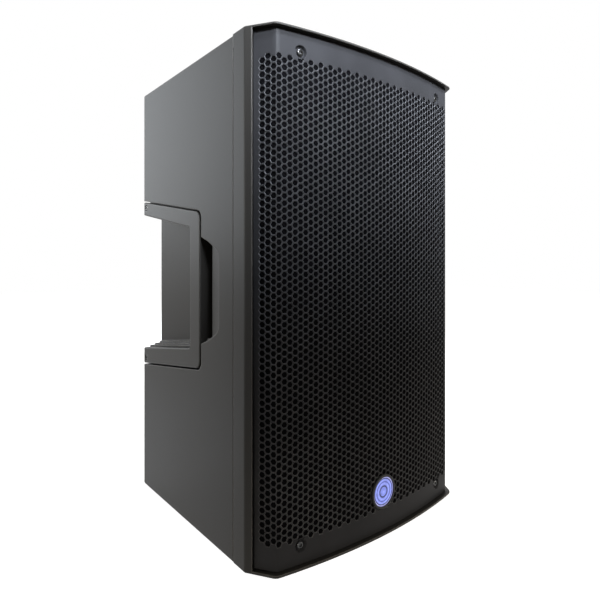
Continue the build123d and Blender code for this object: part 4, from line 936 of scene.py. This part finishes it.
def print_marks(name, outlines, face, slot, body="cabinet", sunk=INK):
    """Marks a little proud of a face that looks backwards, each a closed thin block."""
    points, faces = [], []
    for outline in outlines:
        first, count = len(points), len(outline)
        points += [(x, face + depth, z) for depth in (-sunk, INK) for x, z in outline]
        faces.append(tuple(range(first, first + count)))
        faces.append(tuple(reversed(range(first + count, first + 2 * count))))
        for side in range(count):
            after = (side + 1) % count
            faces.append((first + side, first + count + side, first + count + after, first + after))
    piece(name, points, faces, slot, body, second="panel_ink", marks=[1] * len(faces))


def node_middle(node):
    """A node's middle and half width as seen from behind, and how far back it reaches."""
    start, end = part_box(node)
    return (start.x + end.x) / 2, (start.z + end.z) / 2, (end.x - start.x) / 2, end.y


def mark_panel():
    """Scales round the knobs, I and O by the switch, rules between the groups, knob pointers."""
    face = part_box("amp_panel")[1].y
    outlines = []
    centre_tick = (TICK_COUNT - 1) // 2
    for index in (1, 2):
        x, z, radius, end = node_middle("volume_knob_%d" % index)
        for tick in range(TICK_COUNT):
            longer = LONG_TICK if tick % centre_tick == 0 else 0.0
            outlines.append(bar(x, z, TURN * (tick / centre_tick - 1), radius + TICK_START,
                                radius + TICK_END + longer))
        pointer = bar(x, z, 0.0, POINTER_START * radius, POINTER_END * radius, INLAY)
        print_marks("volume_pointer_%d" % index, [pointer], end - KNOB_SKIN, "knob_plastic",
                    "volume_%d" % index, INLAY_DEPTH)
    x, z, radius, _ = node_middle("encoder_knob")
    outlines += arc(x, z, -TURN, TURN, radius + ARC_GAP, ARC_RUNS)
    x, z, _, _ = node_middle("rocker_frame")
    start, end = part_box("rocker_frame")
    half = (end.z - start.z) / 2
    outlines.append(bar(x, z + half, 0.0, LETTER_START, LETTER_END))
    outlines += arc(x, z - half - LETTER_DROP, 0.0, 2 * math.pi, LETTER_RADIUS, LETTER_RUNS)
    start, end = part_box("heat_sink")
    knob_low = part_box("encoder_knob")[0].z
    socket_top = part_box("mains_inlet")[1].z
    for height in (start.z - RULE_DROP, (knob_low + socket_top) / 2):
        outlines.append([(start.x, height), (end.x, height), (end.x, height + TICK),
                         (start.x, height + TICK)])
    print_marks("panel_marks", outlines, face, "panel_metal")


mark_panel()


# ---------------------------------------------------------------- light and floor
def area_light(name, place, target, size, power, colour, spread):
    """Softbox aimed at a point; its spread limits it to a cone of so many degrees."""
    data = bpy.data.lights.new(name, "AREA")
    data.spread = math.radians(spread)
    data.shape = "RECTANGLE"
    data.size, data.size_y = size
    data.energy = power
    data.color = colour
    lamp = bpy.data.objects.new(name, data)
    lamp.location = place
    lamp.rotation_euler = (Vector(target) - Vector(place)).to_track_quat("-Z", "Y").to_euler()
    lamp.visible_camera = False
    bpy.context.scene.collection.objects.link(lamp)


area_light("softbox_back", (-1.15, 1.85, 1.15), (-0.18, 0.0, 0.72), size=(1.7, 1.5), power=10.2,
           colour=(0.88, 0.94, 1.0), spread=103.0)
area_light("softbox_front", (0.0, -0.8, 1.4), (0.0, -0.17, 0.72), size=(0.7, 0.25), power=2.2,
           colour=(0.82, 0.89, 1.0), spread=26.0)
area_light("softbox_right", (1.3, -1.4, 0.7), (0.15, -0.15, 0.0), size=(0.8, 0.4), power=1.1,
           colour=(1.0, 0.90, 0.76), spread=38.0)
area_light("softbox_left", (-0.5, -1.7, 1.5), (-0.08, -0.15, 0.84), size=(0.6, 0.5), power=7.5,
           colour=(0.86, 0.92, 1.0), spread=20.0)
area_light("softbox_low", (-1.5, -1.0, 0.25), (-0.17, -0.12, -0.08), size=(0.6, 0.3), power=0.4,
           colour=(1.0, 0.92, 0.78), spread=22.0)
area_light("softbox_rear", (1.3, 1.6, 1.1), (0.1, 0.15, 0.36), size=(1.3, 1.1), power=9.0,
           colour=(1.0, 0.98, 0.95), spread=100.0)
area_light("softbox_side", (-1.45, 0.75, 0.62), (-0.13, 0.1, 0.37), size=(0.4, 0.4), power=0.5,
           colour=(1.0, 0.98, 0.94), spread=16.0)

AMBIENT = 0.15
AMBIENT_COLOUR = (1.0, 0.90, 0.76, 1)
BACKGROUND = 1.0
FLOOR_HALF = 6.0
FLOOR_CELLS = 24
FLOOR_GLOW = 0.94


def seen_directly(nodes, links):
    """1 for rays that show the surroundings: to the camera, in a gloss or through a clear piece."""
    path = nodes.new("ShaderNodeLightPath")
    first = nodes.new("ShaderNodeMath")
    first.operation = "MAXIMUM"
    links.new(path.outputs["Is Camera Ray"], first.inputs[0])
    links.new(path.outputs["Is Glossy Ray"], first.inputs[1])
    second = nodes.new("ShaderNodeMath")
    second.operation = "MAXIMUM"
    links.new(first.outputs[0], second.inputs[0])
    links.new(path.outputs["Is Transmission Ray"], second.inputs[1])
    return second.outputs[0]


def set_world():
    """Even ambient light, and a white surround wherever it is looked at."""
    world = bpy.data.worlds.new("studio")
    world.use_nodes = True
    nodes, links = world.node_tree.nodes, world.node_tree.links
    background = nodes["Background"]
    seen = seen_directly(nodes, links)
    colour = nodes.new("ShaderNodeMix")
    colour.data_type = "RGBA"
    colour.inputs[6].default_value = AMBIENT_COLOUR
    colour.inputs[7].default_value = (1, 1, 1, 1)
    links.new(seen, colour.inputs[0])
    links.new(colour.outputs[2], background.inputs["Color"])
    level = nodes.new("ShaderNodeMapRange")
    level.inputs["To Min"].default_value = AMBIENT
    level.inputs["To Max"].default_value = BACKGROUND
    links.new(seen, level.inputs["Value"])
    links.new(level.outputs[0], background.inputs["Strength"])
    bpy.context.scene.world = world


def add_floor():
    """Pale floor under the cabinet: it takes the soft shadow and is white away from it."""
    steps = [FLOOR_HALF * (2 * index / FLOOR_CELLS - 1) for index in range(FLOOR_CELLS + 1)]
    points = [(x, y, floor_level) for y in steps for x in steps]
    row = FLOOR_CELLS + 1
    corners = [row * across + at for across in range(FLOOR_CELLS) for at in range(FLOOR_CELLS)]
    faces = [(first, first + 1, first + row + 1, first + row) for first in corners]
    mesh = bpy.data.meshes.new("floor")
    mesh.from_pydata(points, [], faces)
    made = bpy.data.objects.new("floor", mesh)
    bpy.context.scene.collection.objects.link(made)
    look = Look("floor_paint", roughness=0.9, specular=0.0)
    soft = look.noise(3.0, 3.0)
    look.set("Base Color", look.mix(look.fit(soft, 0.3, 0.7, 0.0, 1.0), grey(0.60), grey(0.62)))
    look.set("Emission Color", grey(1.0))
    glow = look.math("MULTIPLY", seen_directly(look.nodes, look.links), FLOOR_GLOW)
    look.set("Emission Strength", glow)
    mesh.materials.append(look.material)


set_world()
add_floor()
